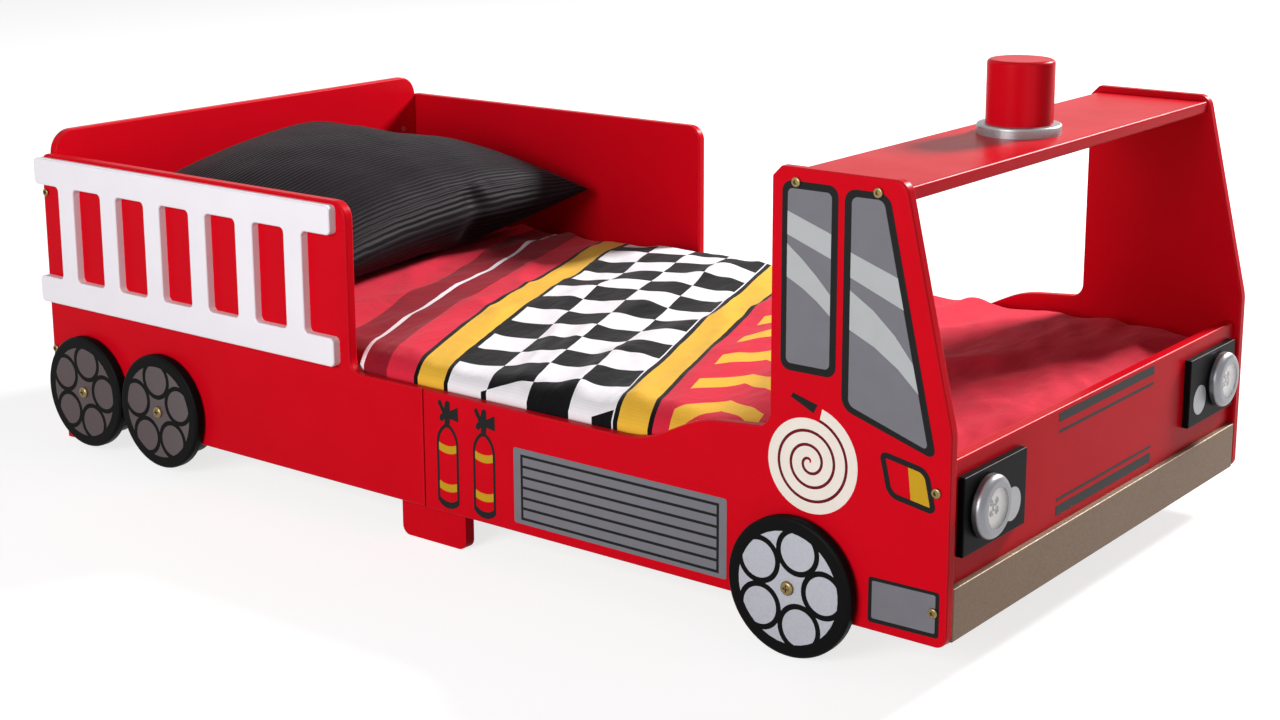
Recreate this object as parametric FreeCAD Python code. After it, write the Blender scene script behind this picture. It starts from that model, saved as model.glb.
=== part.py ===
import FreeCAD, Part
import math
import os

V = FreeCAD.Vector

# Fire engine bed for a small child, sizes in millimetres.
# X runs from the head end to the truck's front, Y to the truck's left, Z up from the floor.
# While the pieces are made, x is 0 at the rear end of the side boards.

# Mattress and the room around it
mattress_length = 1400.0
mattress_width = 700.0
mattress_height = 100.0
mattress_end_gap = 11.25
mattress_side_gap = 13.0
mattress_corner = 45.0
mattress_edge = 12.0

# Boards
board = 15.0
edge_radius = 3.0
ground_gap = 50.0

# Side boards: lengths from the rear end or from the front end, heights from the boards' lower edge
rear_side_length = 603.0
rear_side_height = 368.0
rear_top_radius = 22.0
seam_reach = 124.5
joint_groove_width = 2.0
joint_groove_depth = 7.0
joint_groove_chamfer = 1.2
rail_height = 151.0
rail_fillet = 18.0
corner_radius = 13.0
rear_heel_radius = 36.0
cab_length = 221.0
cab_height = 484.0
cab_sill = 199.0
cab_chamfer = 11.0
windscreen_setback = 60.0
windscreen_sill = 231.0
windscreen_bend = 60.0
cab_top_radius = 16.0
wave_start = 173.0
wave_end = 92.0
wave_drop = 8.0
wave_radius = 130.0

# Head end, front, roof
headboard_height = 398.0
headboard_radius = 32.0
front_panel_height = 197.5
front_setback = 7.5
bumper_height = 58.5
bumper_lift = 4.0
bumper_screw_inset = 73.0
bumper_screw_pitch = 180.0
bumper_screw_bite = 5.5
roof_drop = 7.5
roof_setback = 12.0

# Beacon on the roof
beacon_base_diameter = 98.0
beacon_base_height = 12.0
beacon_diameter = 78.0
beacon_height = 74.0
beacon_edge = 5.0

# Ladder on each rear side
ladder_thickness = 12.0
ladder_lift = 157.0
ladder_rail = 37.5
ladder_drop = 4.5
ladder_rungs = 6
ladder_rung = 32.5
ladder_overhang = 51.5
ladder_front_gap = 16.0
ladder_rear = -3.0
ladder_corner = 7.0
ladder_edge = 2.5

# Feet
mid_foot_width = 107.0
front_foot_width = 66.0
front_foot_offset = 11.0
foot_radius = 12.0

# Slatted base
rail_thickness = 20.0
rail_depth = 25.0
rail_top = 95.0
rail_end_gap = 0.8
slat_count = 13
slat_width = 70.0
slat_thickness = 12.0
slat_end_gap = 10.0
slat_side_gap = 1.5

# Wheels
wheel_diameter = 158.0
wheel_width = 15.0
wheel_edge = 4.0
front_wheel_setback = 184.0
front_wheel_lift = 1.0
rear_wheel_x = 86.0
rear_wheel_gap = 1.5
rear_wheel_lift = 9.0
wheel_side_play = 0.2
inner_tyre_setback = 12.0
washer_diameter = 22.0
washer_thickness = 1.2
wheel_screw_diameter = 8.0
wheel_screw_head = 16.0
wheel_screw_head_height = 3.5
wheel_screw_dome = 2.8
cross_reach = 8.0
cross_width = 1.8
cross_depth = 2.2
insert_diameter = 12.0
insert_length = 12.0

# Fasteners
fit = 0.05
bolt_diameter = 6.0
bolt_head = 11.0
bolt_head_height = 3.0
bolt_dome = 1.5
bolt_socket = 5.0
bolt_socket_depth = 2.0
bolt_past_nut = 8.0
nut_diameter = 10.0
nut_length = 12.0
nut_inset = 30.0
headboard_bolt_drop = 55.0
headboard_bolt_lift = 86.0
wheel_bolt_gap = 4.0
front_bolt_drop = 30.0
front_bolt_lift = 38.0
roof_bolt_rear = 19.0
roof_bolt_front = 31.0
screw_diameter = 4.0
screw_head = 8.0
screw_head_depth = 2.5
screw_bite = 11.0
rail_screw_inset = 60.0
foot_screw_inset = 22.0
dowel_diameter = 8.0
dowel_bite = 9.0
beacon_screw_diameter = 6.0
beacon_screw_bite = 25.0

# Headlight plates and push lights
plate_width = 135.0
plate_height = 86.5
plate_thickness = 8.5
plate_side_gap = 14.5
plate_level = 135.0
plate_edge = 1.5
plate_screw_spacing = 90.0
plate_screw_rise = 22.0
plate_screw_bite = 7.0
light_offset = 21.0
light_rise = 2.0
cap_diameter = 70.0
cap_wall = 3.0
cap_front = 2.0
cap_round = 8.0
cap_depth = 14.6
cap_travel = 1.5
cap_stop_gap = 1.0
cap_clearance = 0.3
lens_diameter = 44.0
lens_flange = 3.0
lens_flange_thickness = 1.2
lens_setback = 0.5
lens_post = 4.0
base_wall = 1.5
base_back = 2.0
board_thickness = 1.6
board_ledge = 2.7
battery_diameter = 20.0
battery_height = 3.2
battery_reach = 12.5
battery_room = 0.3
led_diameter = 4.0
led_stem = 0.5
led_offset = 6.0
switch_size = 6.5
switch_height = 2.0

# Bedding
soft_gap = 0.3
duvet_side_gap = 2.0
duvet_end_gap = 5.0
duvet_side_height = 15.0
duvet_crown = 18.0
duvet_round = 10.0
pillow_side_gap = 33.0
pillow_depth = 382.0
pillow_corner_reach = 14.0
pillow_crown = 70.0
pillow_belly = 95.0
pillow_seam_edge = 6.0
pillow_front_x = 415.0
pillow_front_lift = 33.0
pillow_tilt = 16.0
pillow_swell = 0.6
pillow_places = (-1, -0.9, -0.65, -0.33, 0, 0.33, 0.65, 0.9, 1)

# Places worked out from the sizes above
inner_length = mattress_length + 2 * mattress_end_gap
inner_half = mattress_width / 2 + mattress_side_gap
outer_half = inner_half + board
head_face = board
front_back = head_face + inner_length
front_face = front_back + board
side_length = front_face + front_setback
seam_x = rear_side_length + seam_reach
cab_rear = side_length - cab_length
rail_bottom = rail_top - rail_depth
wheel_radius = wheel_diameter / 2
wheel_back = outer_half + washer_thickness + wheel_side_play
wheel_front = wheel_back + wheel_width
front_wheel = (side_length - front_wheel_setback, front_wheel_lift + wheel_radius)
rear_wheel = (rear_wheel_x, rear_wheel_lift + wheel_radius)
mid_wheel = (rear_wheel_x + wheel_diameter + rear_wheel_gap, rear_wheel[1])
wheel_places = {"rear": rear_wheel, "mid": mid_wheel, "front": front_wheel}
roof_top = ground_gap + cab_height - roof_drop
roof_rear = cab_rear + roof_setback
roof_front = side_length - windscreen_setback
beacon_x = (roof_rear + roof_front) / 2
beacon_base_top = roof_top + beacon_base_height
plate_y = -(inner_half - plate_side_gap - plate_width / 2)
plate_z = ground_gap + plate_level
plate_front = front_face + plate_thickness
light_y = plate_y - light_offset
mattress_bottom = rail_top + slat_thickness + soft_gap
mattress_top = mattress_bottom + mattress_height
duvet_bottom = mattress_top + soft_gap
duvet_shoulder = duvet_bottom + duvet_side_height
duvet_top = duvet_shoulder + duvet_crown


# Two points or planes closer than this count as one
touching = 1e-4


def block(x0, x1, y0, y1, z0, z1):
    """Box between two corners."""
    return Part.makeBox(x1 - x0, y1 - y0, z1 - z0, V(x0, y0, z0))


def rod(start, direction, diameter, length):
    """Round bar from a start point along a direction."""
    return Part.makeCylinder(diameter / 2, length, start, direction)


def outline(corners):
    """Closed wire through (x, z, radius) corners in the XZ plane, each corner rounded to its radius."""
    points = [V(x, 0, z) for x, z, _ in corners]
    rounds = []
    for i, (_, _, radius) in enumerate(corners):
        corner = points[i]
        back = (points[i - 1] - corner).normalize()
        ahead = (points[(i + 1) % len(points)] - corner).normalize()
        half_angle = back.getAngle(ahead) / 2
        reach = radius / math.tan(half_angle)
        nearest = corner + (back + ahead).normalize() * (radius / math.sin(half_angle) - radius)
        rounds.append((corner + back * reach, nearest, corner + ahead * reach))
    edges = []
    for i, (first, nearest, last) in enumerate(rounds):
        if corners[i][2] > 0:
            edges.append(Part.Arc(first, nearest, last).toShape())
        following = rounds[(i + 1) % len(rounds)][0]
        if (following - last).Length > touching:
            edges.append(Part.LineSegment(last, following).toShape())
    return Part.Wire(edges)


def upright(corners, y0, y1):
    """Board standing along X: an XZ outline given thickness from y0 to y1."""
    face = Part.Face(outline(corners))
    solid = face.extrude(V(0, y1 - y0, 0))
    solid.translate(V(0, y0, 0))
    return solid


def ease(solid, radius, keep):
    """Round over the edges for which keep(edge) is true."""
    return solid.makeFillet(radius, [edge for edge in solid.Edges if keep(edge)])


def lies_at(edge, axis, value):
    """True where the whole edge lies on the plane axis = value."""
    box = edge.BoundBox
    low = {"x": box.XMin, "y": box.YMin, "z": box.ZMin}[axis]
    high = {"x": box.XMax, "y": box.YMax, "z": box.ZMax}[axis]
    return abs(low - value) < touching and abs(high - value) < touching


def turned(points, origin):
    """Solid of revolution about the X axis through origin, from (x, radius) points; a point may be
    ("arc", middle, end) for a round stretch."""
    edges = []
    first = V(points[0][0], 0, points[0][1])
    here = first
    for point in points[1:]:
        if point[0] == "arc":
            middle = V(point[1][0], 0, point[1][1])
            end = V(point[2][0], 0, point[2][1])
            edges.append(Part.Arc(here, middle, end).toShape())
        else:
            end = V(point[0], 0, point[1])
            edges.append(Part.LineSegment(here, end).toShape())
        here = end
    edges.append(Part.LineSegment(here, first).toShape())
    solid = Part.Face(Part.Wire(edges)).revolve(V(0, 0, 0), V(1, 0, 0), 360)
    solid.translate(origin)
    return solid


def wood_screw(head, direction, length, room=0.0):
    """Countersunk screw with its head flush at a point; room makes the hole that takes it."""
    shank = rod(head, direction, screw_diameter + 2 * room, length + room)
    cone = Part.makeCone(screw_head / 2 + room, screw_diameter / 2 + room, screw_head_depth, head, direction)
    return shank.fuse(cone).removeSplitter()


def both_sides(shape):
    """The right-hand shape and its mirror image on the left."""
    return shape, shape.mirror(V(0, 0, 0), V(0, 1, 0))


def mirrored_group(shapes):
    """Compound of the right-hand pieces and their mirror images."""
    pieces = []
    for shape in shapes:
        pieces.extend(both_sides(shape))
    return Part.Compound(pieces)


def board_edges(edge):
    """Edges around the outline of a right-hand side board, apart from its butt end at the seam."""
    on_face = lies_at(edge, "y", -outer_half) or lies_at(edge, "y", -inner_half)
    return on_face and not lies_at(edge, "x", seam_x)


# Places of the connecting bolts: where each one enters the right-hand side board
rim_at_headboard = rear_wheel[1] + math.sqrt(max(wheel_radius**2 - (rear_wheel_x - board / 2)**2, 0))
headboard_bolts = [
    (board / 2, ground_gap + rear_side_height - headboard_bolt_drop),
    (board / 2, max(rim_at_headboard + bolt_head / 2 + wheel_bolt_gap, ground_gap + headboard_bolt_lift)),
]
front_bolts = [
    (front_back + board / 2, ground_gap + front_panel_height - front_bolt_drop),
    (front_back + board / 2, ground_gap + front_bolt_lift),
]
roof_bolts = [
    (roof_rear + roof_bolt_rear, roof_top - board / 2),
    (roof_front - roof_bolt_front, roof_top - board / 2),
]
bolt_length = board + nut_inset + bolt_past_nut


def hex_socket(mouth):
    """Six-sided drive sunk into a bolt head along +Y from its mouth."""
    corner = bolt_socket / math.sqrt(3)
    points = []
    for i in range(7):
        angle = i * math.pi / 3
        points.append(mouth + V(corner * math.cos(angle), 0, corner * math.sin(angle)))
    return Part.Face(Part.makePolygon(points)).extrude(V(0, bolt_socket_depth, 0))


def bolt(place, room=0.0):
    """Round-headed bolt from outside the right-hand board; room makes its hole."""
    x, z = place
    shank = rod(V(x, -outer_half, z), V(0, 1, 0), bolt_diameter + 2 * room, bolt_length + room)
    if room:
        return shank
    head = rod(V(x, -outer_half - bolt_head_height, z), V(0, 1, 0), bolt_head, bolt_head_height)
    head = ease(head, bolt_dome, lambda edge: lies_at(edge, "y", -outer_half - bolt_head_height))
    return shank.fuse(head).removeSplitter().cut(hex_socket(V(x, -outer_half - bolt_head_height, z)))


def barrel_nut(place, direction, face, room=0.0):
    """Cross nut pushed into a board from its inner face, across the bolt's axis."""
    x, z = place
    start = V(x, -(inner_half - nut_inset), z) - direction * face
    return rod(start, direction, nut_diameter + 2 * room, nut_length + room)


def drilled_nut(place, direction, face):
    """Barrel nut with the bolt's hole through it."""
    return barrel_nut(place, direction, face).cut(bolt(place, fit))


# Direction in which each nut is pushed into its board, and how far the bolt's axis is from that face
bolt_sets = [
    (headboard_bolts, V(-1, 0, 0), board / 2),
    (front_bolts, V(1, 0, 0), board / 2),
    (roof_bolts, V(0, 0, 1), board / 2),
]


def take_bolts(solid, places):
    """Cut both sides' bolt holes, and the holes of their nuts, into a cross board."""
    for group, direction, face in bolt_sets:
        if group is places:
            for place in places:
                nut_seat = barrel_nut(place, direction, face, fit)
                for hole in both_sides(bolt(place, fit)) + both_sides(nut_seat):
                    solid = solid.cut(hole)
    return solid


def side_holes(solid, places):
    """Cut bolt holes into a right-hand side board."""
    for place in places:
        solid = solid.cut(bolt(place, fit))
    return solid


# Wheels
def wheel(place):
    """Disc on the right-hand side with a bore that runs on the screw."""
    x, z = place
    disc = rod(V(x, -wheel_front, z), V(0, 1, 0), wheel_diameter, wheel_width)
    for face in (-wheel_front, -wheel_back):
        disc = ease(disc, wheel_edge, lambda edge: lies_at(edge, "y", face))
    return disc.cut(rod(V(x, -wheel_front, z), V(0, 1, 0), wheel_screw_diameter + 2 * fit, wheel_width))


def cross_recess(mouth):
    """Two crossed slots sunk into a screw head along +Y from their mouth."""
    long_half = cross_reach / 2
    short_half = cross_width / 2
    level = block(-long_half, long_half, 0, cross_depth, -short_half, short_half)
    plumb = block(-short_half, short_half, 0, cross_depth, -long_half, long_half)
    cross = level.fuse(plumb)
    cross.translate(mouth)
    return cross


def wheel_screw(place):
    """Domed screw through the wheel into the insert."""
    x, z = place
    seat = -wheel_front - wheel_side_play
    reach = outer_half - insert_length
    head = rod(V(x, seat - wheel_screw_head_height, z), V(0, 1, 0), wheel_screw_head, wheel_screw_head_height)
    head = ease(head, wheel_screw_dome, lambda edge: lies_at(edge, "y", seat - wheel_screw_head_height))
    shank = rod(V(x, seat, z), V(0, 1, 0), wheel_screw_diameter, -reach - seat)
    return head.fuse(shank).removeSplitter().cut(cross_recess(V(x, seat - wheel_screw_head_height, z)))


def wheel_washer(place):
    """Spacer between the wheel and the side board."""
    x, z = place
    ring = rod(V(x, -outer_half - washer_thickness, z), V(0, 1, 0), washer_diameter, washer_thickness)
    return ring.cut(rod(V(x, -outer_half - washer_thickness, z), V(0, 1, 0),
                        wheel_screw_diameter + 2 * fit, washer_thickness))


def wheel_insert(place, room=0.0):
    """Threaded sleeve let into the side board; room makes its seat."""
    x, z = place
    sleeve = rod(V(x, -outer_half, z), V(0, 1, 0), insert_diameter + 2 * room, insert_length + room)
    if room:
        return sleeve
    return sleeve.cut(rod(V(x, -outer_half, z), V(0, 1, 0), wheel_screw_diameter + 2 * fit, insert_length))


# Ladder
ladder_front = rear_side_length - ladder_front_gap
ladder_length = ladder_front - ladder_rear
ladder_gap = (ladder_length - 2 * ladder_overhang - ladder_rungs * ladder_rung) / (ladder_rungs - 1)
ladder_bottom = ground_gap + ladder_lift
ladder_top = ground_gap + rear_side_height - ladder_drop
ladder_face = outer_half + ladder_thickness


def dowel(x, z, room=0.0):
    """Pin between the side board and the ladder."""
    start = V(x, -outer_half - dowel_bite - room, z)
    return rod(start, V(0, 1, 0), dowel_diameter + 2 * room, 2 * (dowel_bite + room))


dowel_places = [
    (x, z)
    for x in (ladder_rear + ladder_overhang + ladder_rung / 2, ladder_front - ladder_overhang - ladder_rung / 2)
    for z in (ladder_bottom + ladder_rail / 2, ladder_top - ladder_rail / 2)
]


def ladder():
    """Board cut to two rails and a row of rungs, with rounded inner and outer corners."""
    first = ladder_rear + ladder_overhang
    last = ladder_front - ladder_overhang
    low = ladder_bottom + ladder_rail
    high = ladder_top - ladder_rail
    corners = [
        (ladder_rear, ladder_bottom, ladder_corner),
        (ladder_front, ladder_bottom, ladder_corner),
        (ladder_front, low, ladder_corner),
        (last, low, ladder_corner),
        (last, high, ladder_corner),
        (ladder_front, high, ladder_corner),
        (ladder_front, ladder_top, ladder_corner),
        (ladder_rear, ladder_top, ladder_corner),
        (ladder_rear, high, ladder_corner),
        (first, high, ladder_corner),
        (first, low, ladder_corner),
        (ladder_rear, low, ladder_corner),
    ]
    solid = upright(corners, -ladder_face, -outer_half)
    for i in range(ladder_rungs - 1):
        left = first + ladder_rung + i * (ladder_rung + ladder_gap)
        right = left + ladder_gap
        window = [
            (left, low, ladder_corner),
            (right, low, ladder_corner),
            (right, high, ladder_corner),
            (left, high, ladder_corner),
        ]
        solid = solid.cut(upright(window, -ladder_face, -outer_half))
    solid = ease(solid, ladder_edge, lambda edge: lies_at(edge, "y", -ladder_face))
    for x, z in dowel_places:
        solid = solid.cut(dowel(x, z, fit))
    return solid


# Feet, rails and slats
def foot(x0, x1, z1):
    """Foot board on the inner face of the right-hand side, rounded below."""
    corners = [
        (x0, 0, foot_radius),
        (x1, 0, foot_radius),
        (x1, z1, 0),
        (x0, z1, 0),
    ]
    return upright(corners, -inner_half, -inner_half + board)


mid_foot_rear = seam_x - mid_foot_width / 2
mid_foot_front = seam_x + mid_foot_width / 2
front_foot_rear = front_wheel[0] - front_foot_offset - front_foot_width / 2
front_foot_front = front_foot_rear + front_foot_width


def inner_tyre(place):
    """Lower part of a disc behind a rear wheel, on the inner face, clear of the headboard."""
    x, z = place
    radius = wheel_radius - inner_tyre_setback
    disc = rod(V(x, -inner_half, z), V(0, 1, 0), 2 * radius, board)
    rear = max(x - radius, head_face + soft_gap)
    top = rail_bottom - soft_gap
    room = block(rear, x + radius, -inner_half, -inner_half + board, z - radius, top)
    return disc.common(room)


def tyre_screw_places(place):
    """Two screw points in the part of the disc below the side board's slat rail."""
    x = place[0]
    level = (ground_gap + rail_bottom) / 2
    return [(x - foot_screw_inset, level), (x + foot_screw_inset, level)]


foot_screw_places = [
    (x, z)
    for x in (mid_foot_rear + foot_screw_inset, mid_foot_front - foot_screw_inset)
    for z in (ground_gap + foot_screw_inset / 2, rail_top - foot_screw_inset / 2)
]
front_foot_level = (ground_gap + rail_bottom) / 2
foot_screw_places += [
    (front_foot_rear + foot_screw_inset, front_foot_level),
    (front_foot_front - foot_screw_inset, front_foot_level),
]
foot_screw_places += tyre_screw_places(rear_wheel) + tyre_screw_places(mid_wheel)


def foot_screw(place, room=0.0):
    """Screw from inside through a foot board into the right-hand side board."""
    x, z = place
    return wood_screw(V(x, -inner_half + board, z), V(0, -1, 0), board + screw_bite, room)


rail_spans = {
    "rear": (head_face + rail_end_gap, mid_foot_rear - rail_end_gap),
    "front": (mid_foot_front + rail_end_gap, front_back - rail_end_gap),
}


def rail_screw_places(span):
    """Three screws along a slat rail."""
    x0, x1 = span
    return [x0 + rail_screw_inset, (x0 + x1) / 2, x1 - rail_screw_inset]


def rail_screw(x, room=0.0):
    """Screw from inside through a slat rail into the right-hand side board."""
    level = (rail_top + rail_bottom) / 2
    head = V(x, -inner_half + rail_thickness, level)
    return wood_screw(head, V(0, -1, 0), rail_thickness + screw_bite, room)


def slat_rail(span):
    """Rail on the inner face that carries the slats' ends."""
    x0, x1 = span
    solid = block(x0, x1, -inner_half, -inner_half + rail_thickness, rail_bottom, rail_top)
    for x in rail_screw_places(span):
        solid = solid.cut(rail_screw(x, fit))
    return solid


def slats():
    """Row of loose boards across the rails."""
    half = inner_half - slat_side_gap
    first = head_face + slat_end_gap
    pitch = (inner_length - 2 * slat_end_gap - slat_width) / (slat_count - 1)
    row = []
    for i in range(slat_count):
        x0 = first + i * pitch
        row.append(block(x0, x0 + slat_width, -half, half, rail_top, rail_top + slat_thickness))
    return Part.Compound(row)


# Side boards
def inner_screw_holes(solid):
    """Cut every screw hole that reaches a right-hand side board from inside."""
    for place in foot_screw_places:
        solid = solid.cut(foot_screw(place, fit))
    for span in rail_spans.values():
        for x in rail_screw_places(span):
            solid = solid.cut(rail_screw(x, fit))
    return solid


def joint_groove():
    """Groove down the outside of the seam, half of it in each of the two boards that meet there."""
    bottom = ground_gap - 1
    top = ground_gap + rail_height + 1
    half = (joint_groove_width / 2 + joint_groove_chamfer) / math.sqrt(2)
    mouth = block(-half, half, -half, half, bottom, top)
    mouth.rotate(V(0, 0, 0), V(0, 0, 1), 45)
    slot = block(-joint_groove_width / 2, joint_groove_width / 2, 0, joint_groove_depth, bottom, top)
    solid = mouth.fuse(slot).removeSplitter()
    solid.translate(V(seam_x, -outer_half, 0))
    return solid


def side_rear():
    """Rear side board: high part beside the pillow and a low tongue up to the seam."""
    low = ground_gap + rail_height
    high = ground_gap + rear_side_height
    corners = [
        (0, ground_gap, rear_heel_radius),
        (seam_x, ground_gap, 0),
        (seam_x, low, 0),
        (rear_side_length, low, rail_fillet),
        (rear_side_length, high, rear_top_radius),
        (0, high, corner_radius),
    ]
    solid = upright(corners, -outer_half, -inner_half)
    solid = ease(solid, edge_radius, board_edges)
    solid = side_holes(solid, headboard_bolts)
    for x, z in dowel_places:
        solid = solid.cut(dowel(x, z, fit))
    for name in ("rear", "mid"):
        solid = solid.cut(wheel_insert(wheel_places[name], fit))
    solid = solid.cut(joint_groove())
    return inner_screw_holes(solid)


def side_front():
    """Front side board: low rail, wave and cab with a sloped windscreen edge."""
    low = ground_gap + rail_height
    sill = ground_gap + cab_sill
    top = ground_gap + cab_height
    corners = [
        (seam_x, ground_gap, 0),
        (side_length, ground_gap, corner_radius),
        (side_length, ground_gap + windscreen_sill, windscreen_bend),
        (roof_front, top, cab_top_radius),
        (cab_rear + cab_chamfer, top, edge_radius),
        (cab_rear, top - cab_chamfer, edge_radius),
        (cab_rear, sill, rail_fillet),
        (cab_rear - wave_end, sill - wave_drop, wave_radius),
        (cab_rear - wave_start, low, wave_radius),
        (seam_x, low, 0),
    ]
    solid = upright(corners, -outer_half, -inner_half)
    solid = ease(solid, edge_radius, board_edges)
    solid = side_holes(solid, front_bolts + roof_bolts)
    solid = solid.cut(wheel_insert(front_wheel, fit))
    solid = solid.cut(joint_groove())
    return inner_screw_holes(solid)


# Cross boards
def cross_board(x0, height, bottom, radius):
    """Board across the bed between the side boards, with rounded top corners and eased top edge."""
    corners = [
        (-inner_half, bottom, 0),
        (inner_half, bottom, 0),
        (inner_half, bottom + height, radius),
        (-inner_half, bottom + height, radius),
    ]
    solid = upright(corners, 0, board)
    solid.rotate(V(0, 0, 0), V(0, 0, 1), 90)
    solid.translate(V(x0 + board, 0, 0))
    faces = (x0, x0 + board)
    low_line = bottom + height - radius - touching
    return ease(solid, edge_radius, lambda edge: edge.BoundBox.ZMin > low_line
                and (lies_at(edge, "x", faces[0]) or lies_at(edge, "x", faces[1])))


def headboard():
    """Board at the head end, standing on the floor."""
    solid = cross_board(0, ground_gap + headboard_height, 0, headboard_radius)
    return take_bolts(solid, headboard_bolts)


bumper_level = ground_gap + bumper_lift + bumper_height / 2
bumper_screw_y = -(inner_half - bumper_screw_inset)
bumper_screw_places = [(bumper_screw_y, bumper_level), (bumper_screw_y + bumper_screw_pitch, bumper_level)]
plate_screw_z = plate_z + plate_screw_rise
plate_screw_places = [(plate_y + side * plate_screw_spacing / 2, plate_screw_z) for side in (-1, 1)]


def front_screw(place, bite, room=0.0):
    """Screw through the front panel from behind."""
    y, z = place
    return wood_screw(V(front_back, y, z), V(1, 0, 0), board + bite, room)


def front_panel():
    """Board across the front with bolt holes in its ends and screw holes for what it carries."""
    solid = cross_board(front_back, front_panel_height, ground_gap, edge_radius)
    solid = take_bolts(solid, front_bolts)
    for place in bumper_screw_places:
        for hole in both_sides(front_screw(place, bumper_screw_bite, fit)):
            solid = solid.cut(hole)
    for place in plate_screw_places:
        for hole in both_sides(front_screw(place, plate_screw_bite, fit)):
            solid = solid.cut(hole)
    return solid


def bumper():
    """Board on the lower front, flush with the side boards' front edges."""
    bottom = ground_gap + bumper_lift
    solid = block(front_face, side_length, -inner_half, inner_half, bottom, bottom + bumper_height)
    solid = ease(solid, edge_radius / 2, lambda edge: lies_at(edge, "x", side_length))
    for place in bumper_screw_places:
        for hole in both_sides(front_screw(place, bumper_screw_bite, fit)):
            solid = solid.cut(hole)
    return solid


def roof_board():
    """Board between the cab sides."""
    solid = block(roof_rear, roof_front, -inner_half, inner_half, roof_top - board, roof_top)
    solid = ease(solid, edge_radius, lambda edge: edge.BoundBox.YLength > board)
    solid = take_bolts(solid, roof_bolts)
    return solid.cut(beacon_screw(fit))


# Beacon
def beacon_screw(room=0.0):
    """Screw from below the roof through the base into the beacon."""
    start = V(beacon_x, 0, roof_top - board)
    length = board + beacon_base_height + beacon_screw_bite
    shank = rod(start, V(0, 0, 1), beacon_screw_diameter + 2 * room, length + room)
    if room:
        return shank
    head = rod(V(beacon_x, 0, roof_top - board - bolt_head_height), V(0, 0, 1), bolt_head, bolt_head_height)
    return shank.fuse(head).removeSplitter()


def beacon_base():
    """Flat round disc on the roof."""
    disc = rod(V(beacon_x, 0, roof_top), V(0, 0, 1), beacon_base_diameter, beacon_base_height)
    disc = ease(disc, edge_radius, lambda edge: lies_at(edge, "z", beacon_base_top))
    return disc.cut(beacon_screw(fit))


def beacon():
    """Round block on the base."""
    drum = rod(V(beacon_x, 0, beacon_base_top), V(0, 0, 1), beacon_diameter, beacon_height)
    drum = ease(drum, beacon_edge, lambda edge: lies_at(edge, "z", beacon_base_top + beacon_height))
    return drum.cut(beacon_screw(fit))


# Headlights
def headlight_plate():
    """Board on the front panel that carries a push light."""
    y0 = plate_y - plate_width / 2
    z0 = plate_z - plate_height / 2
    solid = block(front_face, plate_front, y0, y0 + plate_width, z0, z0 + plate_height)
    solid = ease(solid, plate_edge, lambda edge: not lies_at(edge, "x", front_face))
    for place in plate_screw_places:
        solid = solid.cut(front_screw(place, plate_screw_bite, fit))
    return solid


light_origin = V(plate_front, light_y, plate_z + light_rise)
cap_radius = cap_diameter / 2
cap_inside = cap_radius - cap_wall
cap_back = cap_travel + cap_stop_gap
cap_inner_front = cap_depth - cap_front
cap_inner_round = cap_round - cap_wall
base_radius = cap_inside - cap_clearance
base_inside = base_radius - base_wall
ledge_x = base_back + battery_height + battery_room
board_front = ledge_x + board_thickness
led_top = board_front + led_stem + led_diameter / 2
lens_radius = lens_diameter / 2
lens_back = cap_inner_front - lens_flange_thickness


def light_cap():
    """Plated cap that slides on the base, with a round window."""
    centre = cap_radius - cap_round
    round_x = cap_depth - cap_round
    inner_x = cap_inner_front - cap_inner_round
    bulge = cap_round * math.sqrt(0.5)
    inner_bulge = cap_inner_round * math.sqrt(0.5)
    profile = [
        (cap_back, cap_inside),
        (cap_back, cap_radius),
        (round_x, cap_radius),
        ("arc", (round_x + bulge, centre + bulge), (cap_depth, centre)),
        (cap_depth, lens_radius + fit),
        (cap_inner_front, lens_radius + fit),
        (cap_inner_front, centre),
        ("arc", (inner_x + inner_bulge, centre + inner_bulge), (inner_x, cap_inside)),
    ]
    return turned(profile, light_origin)


def light_lens():
    """Clear disc behind the cap's window, with a flange and a post that works the switch."""
    post_tip = board_front + cap_travel + fit
    profile = [
        (post_tip, 0),
        (post_tip, lens_post / 2),
        (lens_back, lens_post / 2),
        (lens_back, lens_radius + lens_flange),
        (cap_inner_front, lens_radius + lens_flange),
        (cap_inner_front, lens_radius),
        (cap_depth - lens_setback, lens_radius),
        (cap_depth - lens_setback, 0),
    ]
    return turned(profile, light_origin)


def light_base():
    """Cup on the plate that holds the batteries and the lamp board."""
    profile = [
        (0, 0),
        (0, base_radius),
        (board_front, base_radius),
        (board_front, base_inside),
        (ledge_x, base_inside),
        (ledge_x, base_inside - board_ledge),
        (base_back, base_inside - board_ledge),
        (base_back, 0),
    ]
    return turned(profile, light_origin)


def light_board():
    """Round lamp board on the base's ledge."""
    disc = rod(V(ledge_x, 0, 0), V(1, 0, 0), 2 * (base_inside - fit), board_thickness)
    disc.translate(light_origin)
    return disc


def light_leds():
    """Four small domed lamps on the board."""
    lamps = []
    for y in (-led_offset, led_offset):
        for z in (-led_offset, led_offset):
            stem = rod(V(board_front, y, z), V(1, 0, 0), led_diameter, led_stem)
            ball = Part.makeSphere(led_diameter / 2, V(board_front + led_stem, y, z), V(1, 0, 0), 0, 90, 360)
            lamp = stem.fuse(ball).removeSplitter()
            lamp.translate(light_origin)
            lamps.append(lamp)
    return Part.Compound(lamps)


def light_switch():
    """Press switch in the middle of the board, open for the lens post."""
    half = switch_size / 2
    body = block(board_front, board_front + switch_height, -half, half, -half, half)
    hole = rod(V(board_front, 0, 0), V(1, 0, 0), lens_post + 2 * cap_clearance, switch_height)
    body = body.cut(hole)
    body.translate(light_origin)
    return body


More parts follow.
